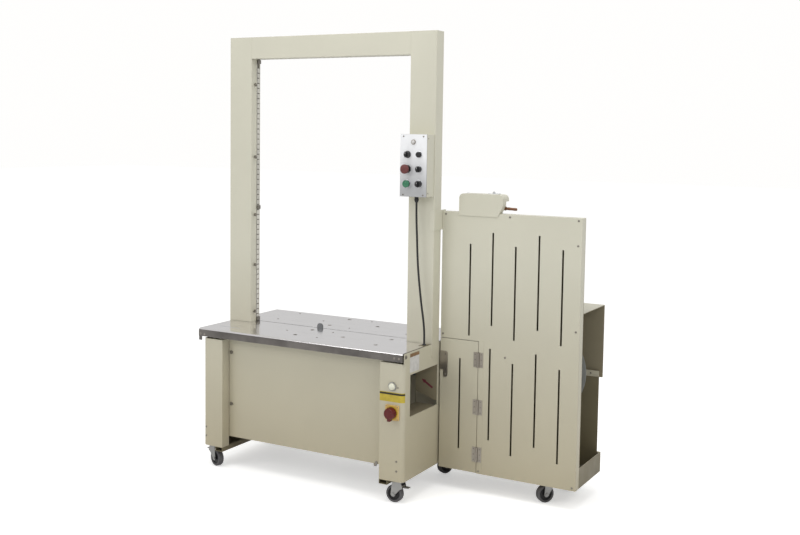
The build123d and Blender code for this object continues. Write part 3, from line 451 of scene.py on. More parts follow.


def powder_coat(name, colour, patch=0.95, dust=(0.70, 0.635, 0.53), gloss=(0.36, 0.46)):
    material, shader = blank(name, 0.0)
    darker = tuple(c * patch for c in colour)
    tone = blended(material, pattern(material, EVEN, 2.3, 4), darker, colour)
    # Painted shade: the colour darkens towards the floor, as if less light reached it.
    shade_by_height = blended(material, height_of(material), dust, (1, 1, 1), (0.02, SHADE_TOP))
    feed(material, multiplied(material, tone, shade_by_height), shader.inputs["Base Color"])
    rough = between(material, pattern(material, EVEN, 14, 3), *gloss)
    feed(material, rough, shader.inputs["Roughness"])
    skin(material, shader, pattern(material, EVEN, 700, 2), 0.10, 0.0003)
    shader.inputs["Coat Weight"].default_value = 0.15
    shader.inputs["Coat Roughness"].default_value = 0.25
    return material


CREAM = (0.62, 0.605, 0.50)
cream = powder_coat("cream_powder_coat", CREAM)
DULL = {"patch": 0.88, "dust": (0.8, 0.76, 0.7), "gloss": (0.45, 0.6)}
# The inner coats are painted darker than the outside cream: painted shade where little light gets
# in.
shaded_inside_cream = powder_coat("cream_inside", (0.225, 0.20, 0.125), **DULL)
shaded_chute_cream = powder_coat("cream_in_the_window", (0.31, 0.275, 0.19), **DULL)
motor_paint = powder_coat("motor_paint", (0.10, 0.115, 0.13), 0.85, EVEN, (0.35, 0.5))
reel_paint = powder_coat("reel_paint", (0.34, 0.35, 0.335), 0.9, EVEN, (0.3, 0.42))
print("painted finishes:", cream.name, motor_paint.name, reel_paint.name)


# %% [markdown]
# ### Metals
# The worktop is stainless sheet with a fine polish along its length: it mirrors the columns
# softly. The scratches are noise stretched a hundred times along one axis. Small pressed pieces
# are bright zinc, which is duller and mottled.

# %% Steel, zinc, chrome and castings
def bare_metal(name, colour, gloss, grain, grain_scale, depth, patch=0.86, metallic=1.0,
               reflection_fade=None):
    """The last argument, (lowest z, highest z, share), lets the tone fall to that share towards the
    lowest z: a painted reflection that darkens the piece low down.
    """
    material, shader = blank(name, metallic)
    darker = tuple(c * patch for c in colour)
    tone = blended(material, pattern(material, EVEN, 9, 4), darker, colour)
    if reflection_fade:
        bottom, top_z, share = reflection_fade
        rise = between(material, height_of(material), 0, 1, (bottom, top_z))
        tone = multiplied(material, tone, blended(material, rise, (share,) * 3, EVEN, (0, 1)))
    feed(material, tone, shader.inputs["Base Color"])
    scratches = pattern(material, grain, grain_scale, 4, 0.6)
    feed(material, between(material, scratches, *gloss), shader.inputs["Roughness"])
    skin(material, shader, scratches, 0.35, depth)
    return material


worktop_steel = bare_metal("worktop_steel", (0.92, 0.905, 0.915), (0.11, 0.20), (0.02, 1, 1),
                           900, 0.00001, 0.97)
# The edge steel's colour is painted much darker than the top's: a painted reflection of dark
# surroundings; its coarser grain is real.
flange_steel = bare_metal("worktop_edge_steel", (0.215, 0.20, 0.19), (0.24, 0.44), (0.05, 1, 1),
                          320, 0.00004, 0.62)
hinge_steel = bare_metal("hinge_steel", (0.40, 0.365, 0.32), (0.30, 0.46), (1, 1, 0.03), 700,
                         0.00003)
zinc = bare_metal("zinc_plate", (0.66, 0.67, 0.69), (0.22, 0.46), EVEN, 160, 0.00005)
chrome = bare_metal("polished_ring", (0.80, 0.81, 0.83), (0.05, 0.14), EVEN, 300, 0.00001, 0.95)
track_steel = bare_metal("track_steel", (0.56, 0.54, 0.49), (0.34, 0.52), (1, 1, 0.05), 500,
                         0.00004)
gate_steel = bare_metal("gate_steel", (0.88, 0.86, 0.79), (0.30, 0.46), (1, 1, 0.05), 500,
                        0.00004)
casting = bare_metal("machined_casting", (0.22, 0.225, 0.23), (0.42, 0.66), EVEN, 420, 0.0002, 0.8)
# The control plate's tone falls towards its foot: a painted reflection of a darker floor.
plate_metal = bare_metal("control_plate_metal", (0.90, 0.91, 0.93), (0.44, 0.58), (0.03, 1, 1),
                         1200, 0.00002, 0.97, 0.25, (1.31, 1.47, 0.50))
fork_zinc = bare_metal("fork_zinc", (0.40, 0.40, 0.395), (0.26, 0.48), EVEN, 160, 0.00005, 0.78)
screw_steel = bare_metal("screw_steel", (0.30, 0.28, 0.25), (0.30, 0.5), EVEN, 500, 0.00003)
print("metals:", worktop_steel.name, zinc.name, casting.name)


# %% [markdown]
# ### Mouldings, rubber and labels
# Knobs and buttons are glossy or fine-textured plastic, the tyres are grey elastic rubber on black
# cores, and the cable has a satin sheath. A little noise in the colour and the gloss keeps each of
# them from being flat.

# %% Plastics and rubber
def moulding(name, colour, gloss, texture=600, depth=0.00005, patch=0.82):
    material, shader = blank(name, 0.0, 1.46)
    darker = tuple(c * patch for c in colour)
    tone = blended(material, pattern(material, EVEN, 45, 4), darker, colour)
    feed(material, tone, shader.inputs["Base Color"])
    feed(material, between(material, pattern(material, EVEN, 90, 3), *gloss),
         shader.inputs["Roughness"])
    skin(material, shader, pattern(material, EVEN, texture, 2), 0.25, depth)
    return material


black_plastic = moulding("black_moulding", (0.018, 0.018, 0.020), (0.28, 0.42))
red_plastic = moulding("red_moulding", (0.110, 0.004, 0.004), (0.10, 0.18))
stop_red = moulding("stop_button_moulding", (0.155, 0.042, 0.040), (0.36, 0.48))
# On the stop button's skirt this darker red is painted shade under the mushroom head.
dark_red = moulding("dark_red_moulding", (0.055, 0.008, 0.008), (0.30, 0.45))
green_plastic = moulding("green_moulding", (0.050, 0.215, 0.115), (0.12, 0.24))
yellow_plastic = moulding("yellow_moulding", (0.66, 0.45, 0.045), (0.28, 0.4))
orange_edge = moulding("switch_plate_moulding", (0.70, 0.47, 0.16), (0.25, 0.38))
white_lens = moulding("lamp_lens", (0.80, 0.80, 0.66), (0.08, 0.16))
brown_grip = moulding("brown_grip", (0.200, 0.085, 0.038), (0.35, 0.5))
tyre_rubber = moulding("tyre_rubber", (0.105, 0.102, 0.106), (0.48, 0.66), 350, 0.00012)
core_black = moulding("wheel_core", (0.012, 0.012, 0.013), (0.3, 0.45))
roller_rubber = moulding("roller_rubber", (0.03, 0.03, 0.03), (0.5, 0.7), 420, 0.0001)
cable_sheath = moulding("cable_sheath", (0.016, 0.016, 0.017), (0.36, 0.5), 800, 0.00004)
label_white = moulding("label_white", (0.64, 0.63, 0.62), (0.35, 0.5))
label_brown = moulding("label_brown", (0.235, 0.135, 0.065), (0.35, 0.5))
label_yellow = moulding("label_yellow", (0.56, 0.43, 0.045), (0.35, 0.5))
label_black = moulding("label_black", (0.035, 0.028, 0.012), (0.35, 0.5))
arrow_red = moulding("arrow_print", (0.20, 0.030, 0.050), (0.4, 0.55))
print("plastics and rubber:", black_plastic.name, tyre_rubber.name, cable_sheath.name)

# %% [markdown]
# ## The control cable
# It leaves the gland under the control box, hangs in a slow bow and goes through a grommet at the
# foot of the right column. A free cable is one smooth curve with a round bevel, not a row of
# straight tubes, so it is a NURBS line through a few control points.

# %% Cable
CABLE_D = 0.009
CABLE_ROUTE = (
    (0.162, -0.092, 1.266),
    (0.162, -0.092, 1.205),
    (0.168, -0.094, 1.120),
    (0.173, -0.095, 1.015),
    (0.183, -0.095, 0.915),
    (0.195, -0.094, 0.820),
    (0.206, -0.093, 0.752),
    (0.210, -0.092, 0.700),
    (0.210, -0.092, 0.656),
)
cable_data = bpy.data.curves.new("control_cable_line", "CURVE")
cable_data.dimensions = "3D"
line = cable_data.splines.new("NURBS")
line.points.add(len(CABLE_ROUTE) - 1)
for point, place in zip(line.points, CABLE_ROUTE):
    point.co = (*place, 1)
line.order_u = 3
line.use_endpoint_u = True
line.resolution_u = 12
cable_data.bevel_depth = CABLE_D / 2
cable_data.bevel_resolution = 6
cable_data.use_fill_caps = True
cable = bpy.data.objects.new("control_cable_line", cable_data)
bpy.context.scene.collection.objects.link(cable)
cable_data.materials.append(cable_sheath)
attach(cable, "machine")
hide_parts("control_cable")
print("cable of", len(CABLE_ROUTE), "control points")

# %% [markdown]
# ## Painted sheet pieces
# Casings, panels, columns and the dispenser are folded from 3 mm sheet. Their shapes are right in
# the CAD, so each one is copied and given an edge radius of a little over a millimetre, as a
# folded and coated sheet has. The inside of the reel cabinet, the frame, the pool's back plate and
# the strap's chute get less light than the outside; their duller coat is painted darker: painted
# shade.

# %% Casings, columns and panels
EDGE = {"left_column": 0.0016, "right_column": 0.0016, "top_beam": 0.0014,
        "left_side_cover": 0.0014, "right_side_cover": 0.0014, "front_panel": 0.0012,
        "rear_panel": 0.0012, "control_box": 0.0016, "dispenser_front": 0.0012,
        "feed_cover": 0.0007, "link_bracket": 0.0010}
for node, width in EDGE.items():
    finish(refined(node, width), "machine", cream, "cream_paint", node)
finish(refined("dispenser_door", 0.0012), "door", cream, "cream_paint", "dispenser_door")
# The chute, the frame and the pool's back plate take the darker inner coats: painted shade.
finish(refined("strap_chute", 0.0008), "machine", shaded_chute_cream, "cream_paint", "strap_chute")
finish(refined("base_frame", 0.0006, 1), "machine", shaded_inside_cream, "cream_paint", "base_frame")
finish(refined("pool_back_plate", 0.0008), "machine", shaded_inside_cream, "cream_paint",
       "pool_back_plate")
print(len(EDGE) + 4, "sheet pieces refined")

# %% The reel cabinet, with a duller coat painted darker on its inner faces: painted shade
cabinet = refined("dispenser_cabinet", 0.0010)
coated(cabinet, cream)
cabinet.data.materials.append(shaded_inside_cream)
cabinet.data.materials.append(shaded_chute_cream)
cabinet_low, cabinet_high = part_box("dispenser_cabinet")
SKIN = 0.002                # a face this close to the outline is on the outside
HOOD_FOOT = 0.511           # above it more light gets in
# Inner faces take the darker coats, the lighter one above the hood's foot: painted shade.
for face in cabinet.data.polygons:
    inward = (face.center.x > cabinet_low.x + SKIN and face.normal.x > 0.5,
              face.center.y < cabinet_high.y - SKIN and face.normal.y < -0.5,
              face.center.z < cabinet_high.z - SKIN and face.normal.z < -0.5)
    if any(inward):
        face.material_index = 2 if face.center.z > HOOD_FOOT else 1
finish(cabinet, "machine", None, "cream_paint", "dispenser_cabinet")
print("cabinet faces:", len(cabinet.data.polygons))

# %% [markdown]
# ## Screws and catches
# The panels are held by small socket-head screws. One head is turned, with its round socket sunk
# into the dome, and copied to every place where the CAD has a screw. The front panel hangs on two
# quarter-turn catches, each a knob with a tongue.


# %% One screw head, copied to every place in the CAD
def screw_head(name, radius, height):
    profile = [(radius, 0), (radius, height * 0.4), (radius * 0.86, height * 0.78),
               (radius * 0.6, height), (radius * 0.46, height), (radius * 0.40, height * 0.4)]
    return turned(name, profile, 20)


CATCH_DEPTH = 0.006         # only the catches stand out further than this
heads = []
for lowest, highest in solids_of("panel_screws"):
    size, centre = highest - lowest, centre_of((lowest, highest))
    if size.y > CATCH_DEPTH:
        catch = turned("catch", [(8, 0), (8, 2.6), (7.2, 3.6), (5, 4)], 28)
        tongue = block("tongue", (-0.003, -0.003, 0.004), (0.012, 0.003, 0.008), 0.001)
        heads.append(put(joined("catch", [catch, tongue]),
                         (lowest.x + 0.008, highest.y, centre.z), TO_FRONT))
    elif size.y < size.x:
        heads.append(put(screw_head("head", size.x / 2 / MM, size.y / MM),
                         (centre.x, highest.y, centre.z), TO_FRONT))
    else:
        side_of_arch = LEFT if centre.x < ARCH_X else RIGHT
        face = lowest.x if side_of_arch == LEFT else highest.x
        heads.append(put(screw_head("head", size.z / 2 / MM, size.x / MM),
                         (face, centre.y, centre.z), -side_of_arch * TO_RIGHT))
print(len(heads), "screws and catches")
finish(joined("panel_fasteners", heads), "machine", screw_steel, "zinc_steel", "panel_screws")

# %% [markdown]
# ## Strap guide
# The strap runs in a steel track round the arch. A row of small sprung gates closes the track and
# lets the strap out when it is pulled tight, so the inner edge of each column looks finely
# toothed. A collar closes the seam where each bar of the track ends.

# %% Track and gates
GATE_PITCH, GATE_LENGTH, GATE_W, GATE_T = 24.0, 20.0, 18.0, 1.2
FIRST_GATE_Z, GATES_UP = 672, 50
FIRST_GATE_X, GATES_ACROSS = -396, 34
TRACK_MIDDLE_Y = middle("strap_track").y / MM
finish(refined("strap_track", 0.0006), "machine", track_steel, "track_steel", "strap_track")
column_inside = low("right_column").x - ARCH_X
beam_underside = low("top_beam").z
half_w, half_l = GATE_W / 2 * MM, GATE_LENGTH / 2 * MM
gate = block("gate", (-half_l, -half_w, 0), (half_l, half_w, GATE_T * MM), 0.0005, 1)
gates = []
for side_of_arch in (LEFT, RIGHT):
    face = ARCH_X + side_of_arch * column_inside
    places = [(face, TRACK_MIDDLE_Y * MM, (FIRST_GATE_Z + GATE_PITCH * step) * MM)
              for step in range(GATES_UP)]
    gates += spread(another(gate), places, -side_of_arch * TO_RIGHT)
gates += spread(gate, [at(FIRST_GATE_X + GATE_PITCH * step, TRACK_MIDDLE_Y, beam_underside / MM)
                       for step in range(GATES_ACROSS)], -UP)
finish(joined("track_gates", gates), "machine", gate_steel, "track_steel")
COLLAR_HEIGHTS = (652, 1190, 1880)
stops = [block("stop", at(side_of_arch * 418, -15, height),
               at(side_of_arch * 423, 9, height + 18), 0.001)
         for side_of_arch in (LEFT, RIGHT) for height in COLLAR_HEIGHTS]
finish(joined("track_collars", stops), "machine", screw_steel, "track_steel")
print(len(gates), "gates")

# %% [markdown]
# ## Worktop
# Two stainless trays with a rolled front edge. The tops are polished; the turned-down edges keep
# a coarser brushed finish and are painted much darker, a painted reflection of dark surroundings.
# Shallow ribs carry the package, with a small screw at the head of each, and the five holes in
# each half have a pressed rim.

# %% Worktop trays
for node in ("front_table", "rear_table"):
    tray = coated(refined(node, 0.0008), worktop_steel)
    tray.data.materials.append(flange_steel)
    # Faces that stand upright get the darker edge steel: painted reflection.
    for face in tray.data.polygons:
        if abs(face.normal.z) < 0.35:
            face.material_index = 1
    finish(tray, node, None, "stainless", node)
print("worktop trays refined")

# %% Ribs, their screws and the rims of the holes
TABLE_Z = high("front_table").z / MM
RIB_LENGTH, RIB_W, RIB_H, RIB_RISE = 400.0, 6.0, 1.4, 0.3
FRONT_RIBS = ((-161, -133), (49, -203), (46, -64))
REAR_RIBS = ((-370, 90), (-154, 163), (-364, 270), (54, 273), (51, 69))
FRONT_HOLES = ((-68, -202), (-68, -62), (352, -202), (352, -62), (142, -132))
REAR_HOLES = ((-68, 85), (-68, 265), (352, 85), (352, 265), (142, 175))
for node, ribs, holes in (("front_table", FRONT_RIBS, FRONT_HOLES),
                          ("rear_table", REAR_RIBS, REAR_HOLES)):
    rib = block("rib", (0, -RIB_W / 2 * MM, -RIB_H * MM),
                (RIB_LENGTH * MM, RIB_W / 2 * MM, RIB_H * MM), RIB_H * 0.9 * MM, 3)
    rib.data.transform(Matrix.Diagonal((1, 1, RIB_RISE, 1)))
    rib_places = [at(x + 8, y, TABLE_Z) for x, y in ribs]
    finish(copies(rib, node + "_ribs", rib_places), node, worktop_steel, "stainless")
    dots = copies(screw_head("dot", 4.0, 1.2), "dots", [at(x, y, TABLE_Z) for x, y in ribs])
    finish(dots, node, screw_steel, "zinc_steel").name = node + "_rib_screws"
    rims = copies(ring("rim", 9.2, 6.5, 0.7, 0.25, 32), "rims",
                  [at(x, y, TABLE_Z) for x, y in holes])
    finish(rims, node, hinge_steel, "stainless").name = node + "_hole_rims"
print(len(FRONT_RIBS) + len(REAR_RIBS), "ribs,", len(FRONT_HOLES) + len(REAR_HOLES), "rims")

# %% Rivets at the ends of the front edge, and the long strip at its left
edge_y = low("front_table").y
rivets = copies(screw_head("rivet", 4.6, 1.2), "front_edge_rivets",
                [Vector((at(x, 0, 0).x, edge_y + 0.0006, at(0, 0, z).z))
                 for x, z in ((-527, 624), (-504, 623), (502, 627), (524, 627))], TO_FRONT)
finish(rivets, "front_table", hinge_steel, "stainless")
strip = block("front_table_strip", at(-485, -216, TABLE_Z - 1), at(-370, -208, TABLE_Z + 0.7),
              0.0006)
finish(strip, "front_table", chrome, "stainless")
tab = block("worktop_corner_tab", at(-537, -304.5, 594), at(-519, -302.5, 615), 0.0008)
finish(tab, "front_table", flange_steel, "stainless")

# %% [markdown]
# ## Hinge bolts of the worktop
# Each half of the worktop swings up on a pair of pins. Outside the frame a pin shows as a
# hexagon head on a washer.


# %% Hexagon-headed pins
def hex_head(radius, height):
    """A hexagon with a small chamfer, radius over its corners."""
    return turned("hexagon", [(radius, 0), (radius, height * 0.75), (radius * 0.86, height)], 6)


pins = []
for lowest, highest in solids_of("table_hinge_pins"):
    length = (highest.x - lowest.x) / MM
    out = LEFT if highest.x < ARCH_X else RIGHT
    head = 3.0 if out == LEFT else 4.0
    shank = length - head
    start = highest.x if out == LEFT else lowest.x
    pin = [turned("shank", [(5, 0), (5, shank + 0.2)], 28),
           put(turned("washer", [(8, 0), (8, 0.8), (7.6, 1.0)], 28), (0, 0, shank * MM)),
           put(hex_head(6.9, head - 1.0), (0, 0, (shank + 1.0) * MM))]
    centre = centre_of((lowest, highest))
    pins.append(put(joined("pin", pin), (start, centre.y, centre.z), out * TO_RIGHT))
finish(joined("worktop_hinge_pins", pins), "machine", screw_steel, "zinc_steel", "table_hinge_pins")
print(len(pins), "hinge pins")

# %% [markdown]
# ## Control panel
# A bright metal plate on the box holds a lamp, four black controls, a red stop button and a green
# start button. Each control is turned to its own profile, then gets what the hand needs: a tapered
# grip on the selectors, flutes on the dial, a wide mushroom on the stop button.

# %% Plate, its lamp ring and the box's side screws
PLATE = "control_plate"
finish(refined(PLATE, 0.0007), "machine", plate_metal, "panel_aluminium", PLATE)
side_screws = copies(screw_head("side_screw", 3.0, 1.4), "control_box_screws",
                     [at(546, -112, height) for height in (1540, 1308)], TO_RIGHT)
finish(side_screws, "machine", screw_steel, "zinc_steel")
seam = block("control_box_seam", at(417.4, -124.6, 1291.4), at(546.6, -123.6, 1558.6), 0.0003, 1)
finish(seam, "machine", screw_steel, "zinc_steel")


# %% Bezels, which stay on the plate
STEM_HOLE = 11.4
BEZELS = (("mode_selector_bezel", "mode_selector", 15.5, STEM_HOLE, 2.6, black_plastic),
          ("feed_selector_bezel", "feed_selector", 15.5, STEM_HOLE, 2.6, chrome),
          ("tension_dial_bezel", "tension_dial", 17.5, STEM_HOLE, 2.6, chrome),
          ("reset_button_bezel", "reset_button", 14.6, STEM_HOLE, 3.4, chrome),
          ("estop_collar", "estop_button", 17.0, 14.2, 8.0, black_plastic),
          ("start_button_bezel", "start_button", 16.5, STEM_HOLE, 6.0, chrome))
for name, node, outer, inner, height, material in BEZELS:
    piece = put(ring(name, outer, inner, height, 0.7), seat(node, PLATE), TO_FRONT)
    finish(piece, "machine", material,
           "black_plastic" if material is black_plastic else "panel_aluminium")
print(len(BEZELS), "bezels")


# %% Selectors and dial
def stem(reach):
    return turned("stem", [(11, -15), (11, reach)], 32)


def control(name, node, shapes, slot):
    """Joins a control's own shapes, puts them on the plate and lets them ride on their body."""
    whole = put(joined(name, shapes), seat(node, PLATE), TO_FRONT)
    return finish(whole, node, None, slot, node)


def grip(radius, face, reach):
    """A straight handle across a knob's face, a little narrower at its outer side."""
    bar = block("grip", (-0.0042, -(radius - 1) * MM, (face - 2) * MM),
                (0.0042, (radius - 1) * MM, (face + reach) * MM))
    for vertex in bar.data.vertices:
        if vertex.co.z > face * MM:
            vertex.co.x *= 0.72
    break_edges(bar, 0.0012, 3)
    return coated(bar, black_plastic)


def pointer(radius, height):
    """The white line on a grip's outer face."""
    line_piece = block("pointer", (-0.0008, 0.002, (height - 0.4) * MM),
                       (0.0008, (radius - 2.4) * MM, (height + 0.15) * MM))
    return coated(line_piece, label_white)


for node, radius, face in (("mode_selector", 13.5, 16), ("feed_selector", 13.5, 14)):
    knob = turned("knob", [(radius - 0.8, 3), (radius, 4), (radius, 9), (radius - 1.2, face - 1.2),
                           (radius - 2.4, face)])
    control(node + "_knob", node,
            [coated(stem(4), black_plastic), coated(knob, black_plastic), grip(radius, face, 9),
             pointer(radius, face + 9)], "black_plastic")

flute = block("flute", (-0.0011, 0.0128, 0.005), (0.0011, 0.0145, 0.0135), 0.0005)
flutes = around(coated(flute, black_plastic), range(12), 30)
dial = turned("dial", [(13.2, 3), (13.4, 4), (13.0, 13), (11.6, 14), (9.5, 14), (9.2, 13.4)])
control("tension_dial_knob", "tension_dial",
        [coated(stem(4), black_plastic), coated(dial, black_plastic), grip(11, 14, 9),
         pointer(11, 23)] + flutes, "black_plastic")
print("two selectors and a dial")

# %% Push buttons
reset = turned("reset", [(11.2, 7), (12, 7.6), (12, 9.4), (11.2, 10.6), (9.5, 11), (8.5, 10.6)])
control("reset_push", "reset_button",
        [coated(stem(8), black_plastic), coated(reset, black_plastic)], "black_plastic")
# The skirt is a darker red than the head: painted shade under the mushroom.
skirt = turned("skirt", [(11.1, 8.3), (12.6, 10), (15, 20.2)])
mushroom = turned("mushroom", [(15, 20), (19.2, 22), (20, 25), (20, 29), (18.6, 32), (14, 33.6),
                               (12.6, 33.4), (11.4, 33.9), (5, 34)])
control("estop_mushroom", "estop_button",
        [coated(stem(9), black_plastic), coated(skirt, dark_red), coated(mushroom, stop_red)],
        "red_plastic")
start_cap = turned("start_cap", [(15.2, 12), (16, 13), (16, 15.6), (14.8, 17.4), (12.4, 17.6),
                                 (11.4, 18.6), (8, 19.8), (3, 20)])
control("start_push", "start_button",
        [coated(stem(13), dark_red), coated(start_cap, green_plastic)], "green_plastic")

# %% [markdown]
# ## Lamps, gland and labels
# The small lamp on the plate has a bright ring. The power lamp on the leg is a clear white dome in
# a chromed bezel. The cable passes a ribbed gland under the box and a grommet in the worktop. The
# labels on the leg and under the worktop are plain, with no lettering.

# %% Lamps
large_box, small_box = sorted(solids_of("indicator_lamps"), key=lambda box: box[0].z)
small_seat, large_seat = (Vector((centre_of(box).x, box[1].y, centre_of(box).z))
                          for box in (small_box, large_box))
lamp_parts = [
    coated(put(ring("small_ring", 11, 7, 3.2, 1.0), small_seat, TO_FRONT), hinge_steel),
    coated(put(turned("small_lens", [(7.4, 0), (7.4, 4), (6.6, 6.4), (4.4, 7.6), (2, 8)]),
               small_seat, TO_FRONT), label_white),
    coated(put(ring("large_ring", 19, 14.4, 5, 1.2), large_seat, TO_FRONT), fork_zinc),
    coated(put(turned("large_lens", [(14.8, 0), (14.8, 5), (14.2, 9), (12.4, 12.8), (9.2, 15.8),
                                     (5, 17.6), (2, 18)]), large_seat, TO_FRONT), white_lens),
]
finish(joined("lamps", lamp_parts), "machine", None, "lamp_white", "indicator_lamps")
lamp_screw = put(screw_head("power_lamp_screw", 3.4, 1.8), at(518, -299, 503), TO_FRONT)
finish(lamp_screw, "machine", screw_steel, "zinc_steel")

# %% Gland and grommet
grommet_box, gland_box = sorted(solids_of("cable_glands"), key=lambda box: box[0].z)
gland_centre, grommet_centre = centre_of(gland_box), centre_of(grommet_box)
gland_nut = turned("gland_nut", [(9.6, 0), (9.6, 8), (8.8, 9)], 6)
gland_dome = turned("gland_dome", [(8.6, 9), (9.2, 10), (9.2, 15), (8.6, 20), (7.2, 24),
                                   (5.4, 26)], 32)
gland_ribs = around(block("gland_rib", (-0.0006, 0.0086, 0.010), (0.0006, 0.0097, 0.018),
                          0.0003, 1), range(16), 22.5)
gland = put(joined("gland", [gland_nut, gland_dome] + gland_ribs),
            (gland_centre.x, gland_centre.y, gland_box[1].z), -UP)
grommet = put(turned("grommet", [(9, 0), (9, 2), (8, 4), (6, 5.6), (5, 6)], 32),
              (grommet_centre.x, grommet_centre.y, grommet_box[0].z))
finish(joined("cable_gland_and_grommet", [gland, grommet]), "machine", black_plastic,
       "black_plastic", "cable_glands")
print("gland with", len(gland_ribs), "ribs")

# %% Yellow label, wrapped round the leg's corner
LEG_FACE_Y, CORNER_R = low("right_side_cover").y / MM, 20.0
LABEL_LEFT, FLAT_RIGHT, LABEL_WRAP = 431.0, 527.0, 24.0
LABEL_LOW, LABEL_HIGH, LABEL_BAND = 440.0, 481.0, 470.0


def wrapped(name, bottom, top_edge, stand_off, material):
    """A strip of sticker that runs along the leg's front and part of the way round its corner."""
    deselect()
    bpy.ops.mesh.primitive_grid_add(x_subdivisions=24, y_subdivisions=1, size=1)
    strip_piece = bpy.context.object
    strip_piece.name = name
    flat = FLAT_RIGHT - LABEL_LEFT
    for vertex in strip_piece.data.vertices:
        run = (vertex.co.x + 0.5) * (flat + LABEL_WRAP)
        height = bottom + (vertex.co.y + 0.5) * (top_edge - bottom)
        turn_angle = max(0.0, run - flat) / CORNER_R
        x = LABEL_LEFT + min(run, flat) + (CORNER_R + stand_off) * sin(turn_angle)
        y = LEG_FACE_Y + CORNER_R - (CORNER_R + stand_off) * cos(turn_angle)
        vertex.co = at(x, y, height)
    sticker_wall = strip_piece.modifiers.new("thickness", "SOLIDIFY")
    sticker_wall.thickness = 0.0003
    sticker_wall.offset = 0
    apply_modifiers(strip_piece)
    return coated(strip_piece, material)


sticker = [wrapped("yellow", LABEL_LOW, LABEL_HIGH, 0.2, label_yellow),
           wrapped("band", LABEL_BAND, LABEL_BAND + 8, 0.5, label_black)]
finish(joined("plain_yellow_label", sticker), "machine", None, "switch_yellow")

# %% White label and arrow
blank_label = coated(block("white", at(547, -250, 560), at(547.4, -168, 641), 0.0001, 1),
                     label_white)
header = coated(block("header", at(547.1, -250, 626), at(547.6, -168, 641), 0.0001, 1),
                label_brown)
finish(joined("plain_white_label", [blank_label, header]), "machine", None, "lamp_white")
ARROW_SLOPE = 32.2
arrow = outline("strap_way_arrow", [(0, -4.5), (44, -4.5), (44, -9), (64, 0), (44, 9), (44, 4.5),
                                    (0, 4.5)], 0.4)
put(arrow, at(523, 8, 442), TO_FRONT, 180 - ARROW_SLOPE)
finish(arrow, "machine", arrow_red, "red_plastic")
print("labels and arrow, all without lettering")

# %% [markdown]
# ## Main switch
# A square yellow plate with a ring and four screws, and a red rotary handle with a nose that
# points down when the machine is off and to the side when it is on.

# %% Switch plate
switch_seat = seat("switch_plate", "switch_plate")
switch_plate = coated(refined("switch_plate", 0.0014, 3), orange_edge)
switch_ring = coated(put(ring("switch_ring", 29.6, 24, 1.6, 0.5), switch_seat, TO_FRONT),
                     yellow_plastic)
SCREW_OUT = 27.0
switch_screws = spread(coated(screw_head("switch_screw", 2.3, 1.0), screw_steel),
                       [switch_seat + Vector((x * MM, 0, z * MM))
                        for x in (-SCREW_OUT, SCREW_OUT) for z in (-SCREW_OUT, SCREW_OUT)],
                       TO_FRONT)
finish(joined("main_switch_plate", [switch_plate, switch_ring] + switch_screws), "machine", None,
       "switch_yellow", "switch_plate")

# %% Red handle
shaft = turned("switch_shaft", [(8, -7), (8, 5)], 32)
handle = turned("switch_handle", [(24.6, 4), (26, 5), (26, 10), (24.8, 20), (23.2, 27), (21, 30),
                                  (17, 31), (16, 30.2)], 48)
nose = block("switch_nose", (-0.007, -0.032, 0.007), (0.007, -0.004, 0.029), 0.002, 3)
bar_grip = block("switch_grip", (-0.0055, -0.019, 0.028), (0.0055, 0.019, 0.0309), 0.0012)
notch = block("switch_notch", (-0.0016, 0.0243, 0.0055), (0.0016, 0.0262, 0.018), 0.0006)
notches = around(notch, [step for step in range(12) if step not in (5, 6, 7)], 30)
red_handle = put(joined("main_switch_handle", [shaft, handle, nose, bar_grip] + notches),
                 switch_seat, TO_FRONT)
finish(red_handle, "main_switch_knob", red_plastic, "red_plastic", "main_switch_knob")
print("switch handle reaches y =", round(min(v.co.y for v in red_handle.data.vertices), 4))

# %% [markdown]
# ## Door and its hinges
# The door hangs on three steel butt hinges, screwed through a strip on each side of the joint.
# Three screws hold each leaf. The latch plate at the free edge is held by two rivets.

# %% Strips beside the joint
DISPENSER_Y = low("dispenser_front").y / MM
STRIPS = (("door_strip", "door", (713, 90.5), (735.6, 668.5), 0.9),
          ("panel_strip", "machine", (738, 88.5), (763, 672), 0.9),
          ("latch_strip", "door", (553.8, 400), (566, 527), 0.7))
for name, body, (left, foot), (right, head), proud in STRIPS:
    strip = block(name, at(left, DISPENSER_Y - proud, foot), at(right, DISPENSER_Y + 1, head),
                  0.0005)
    finish(strip, body, cream, "cream_paint")

# %% Leaves, with three screws each
LEAF_SCREW_STEP, LEAF_SCREW_IN, LEAF_T = 0.024, 0.008, 0.002
for node, body in (("fixed_hinge_leaves", "machine"), ("door_hinge_leaves", "door")):
    places = []
    for lowest, highest in solids_of(node):
        x = highest.x - LEAF_SCREW_IN if body == "machine" else lowest.x + LEAF_SCREW_IN
        z = (lowest.z + highest.z) / 2
        places += [(x, DISPENSER_Y * MM - LEAF_T, z + step * LEAF_SCREW_STEP)
                   for step in (-1, 0, 1)]
    leaf_screws = spread(coated(screw_head("leaf_screw", 3.1, 1.0), screw_steel), places, TO_FRONT)
    leaves = coated(refined(node, 0.0005), hinge_steel)
    finish(joined(node + "_and_screws", [leaves] + leaf_screws), body, None, "stainless", node)
print("hinges with", len(leaf_screws), "screws a side")

# %% Latch plate
latch_rivets = spread(coated(screw_head("latch_rivet", 3.6, 1.4), screw_steel),
                      [at(x, DISPENSER_Y - 2, z) for x, z in ((580, 597), (579, 508))], TO_FRONT)
latch = coated(refined("door_latch_plate", 0.0007), hinge_steel)
finish(joined("latch_plate_and_rivets", [latch] + latch_rivets), "door", None, "stainless",
       "door_latch_plate")

# %% [markdown]
# ## Strap feed
# Under the rounded cover two rollers pull the strap off the reel. The pressure roller sits on a
# crank with a brown handle; lifting the handle frees the strap. The gear motor stands behind.

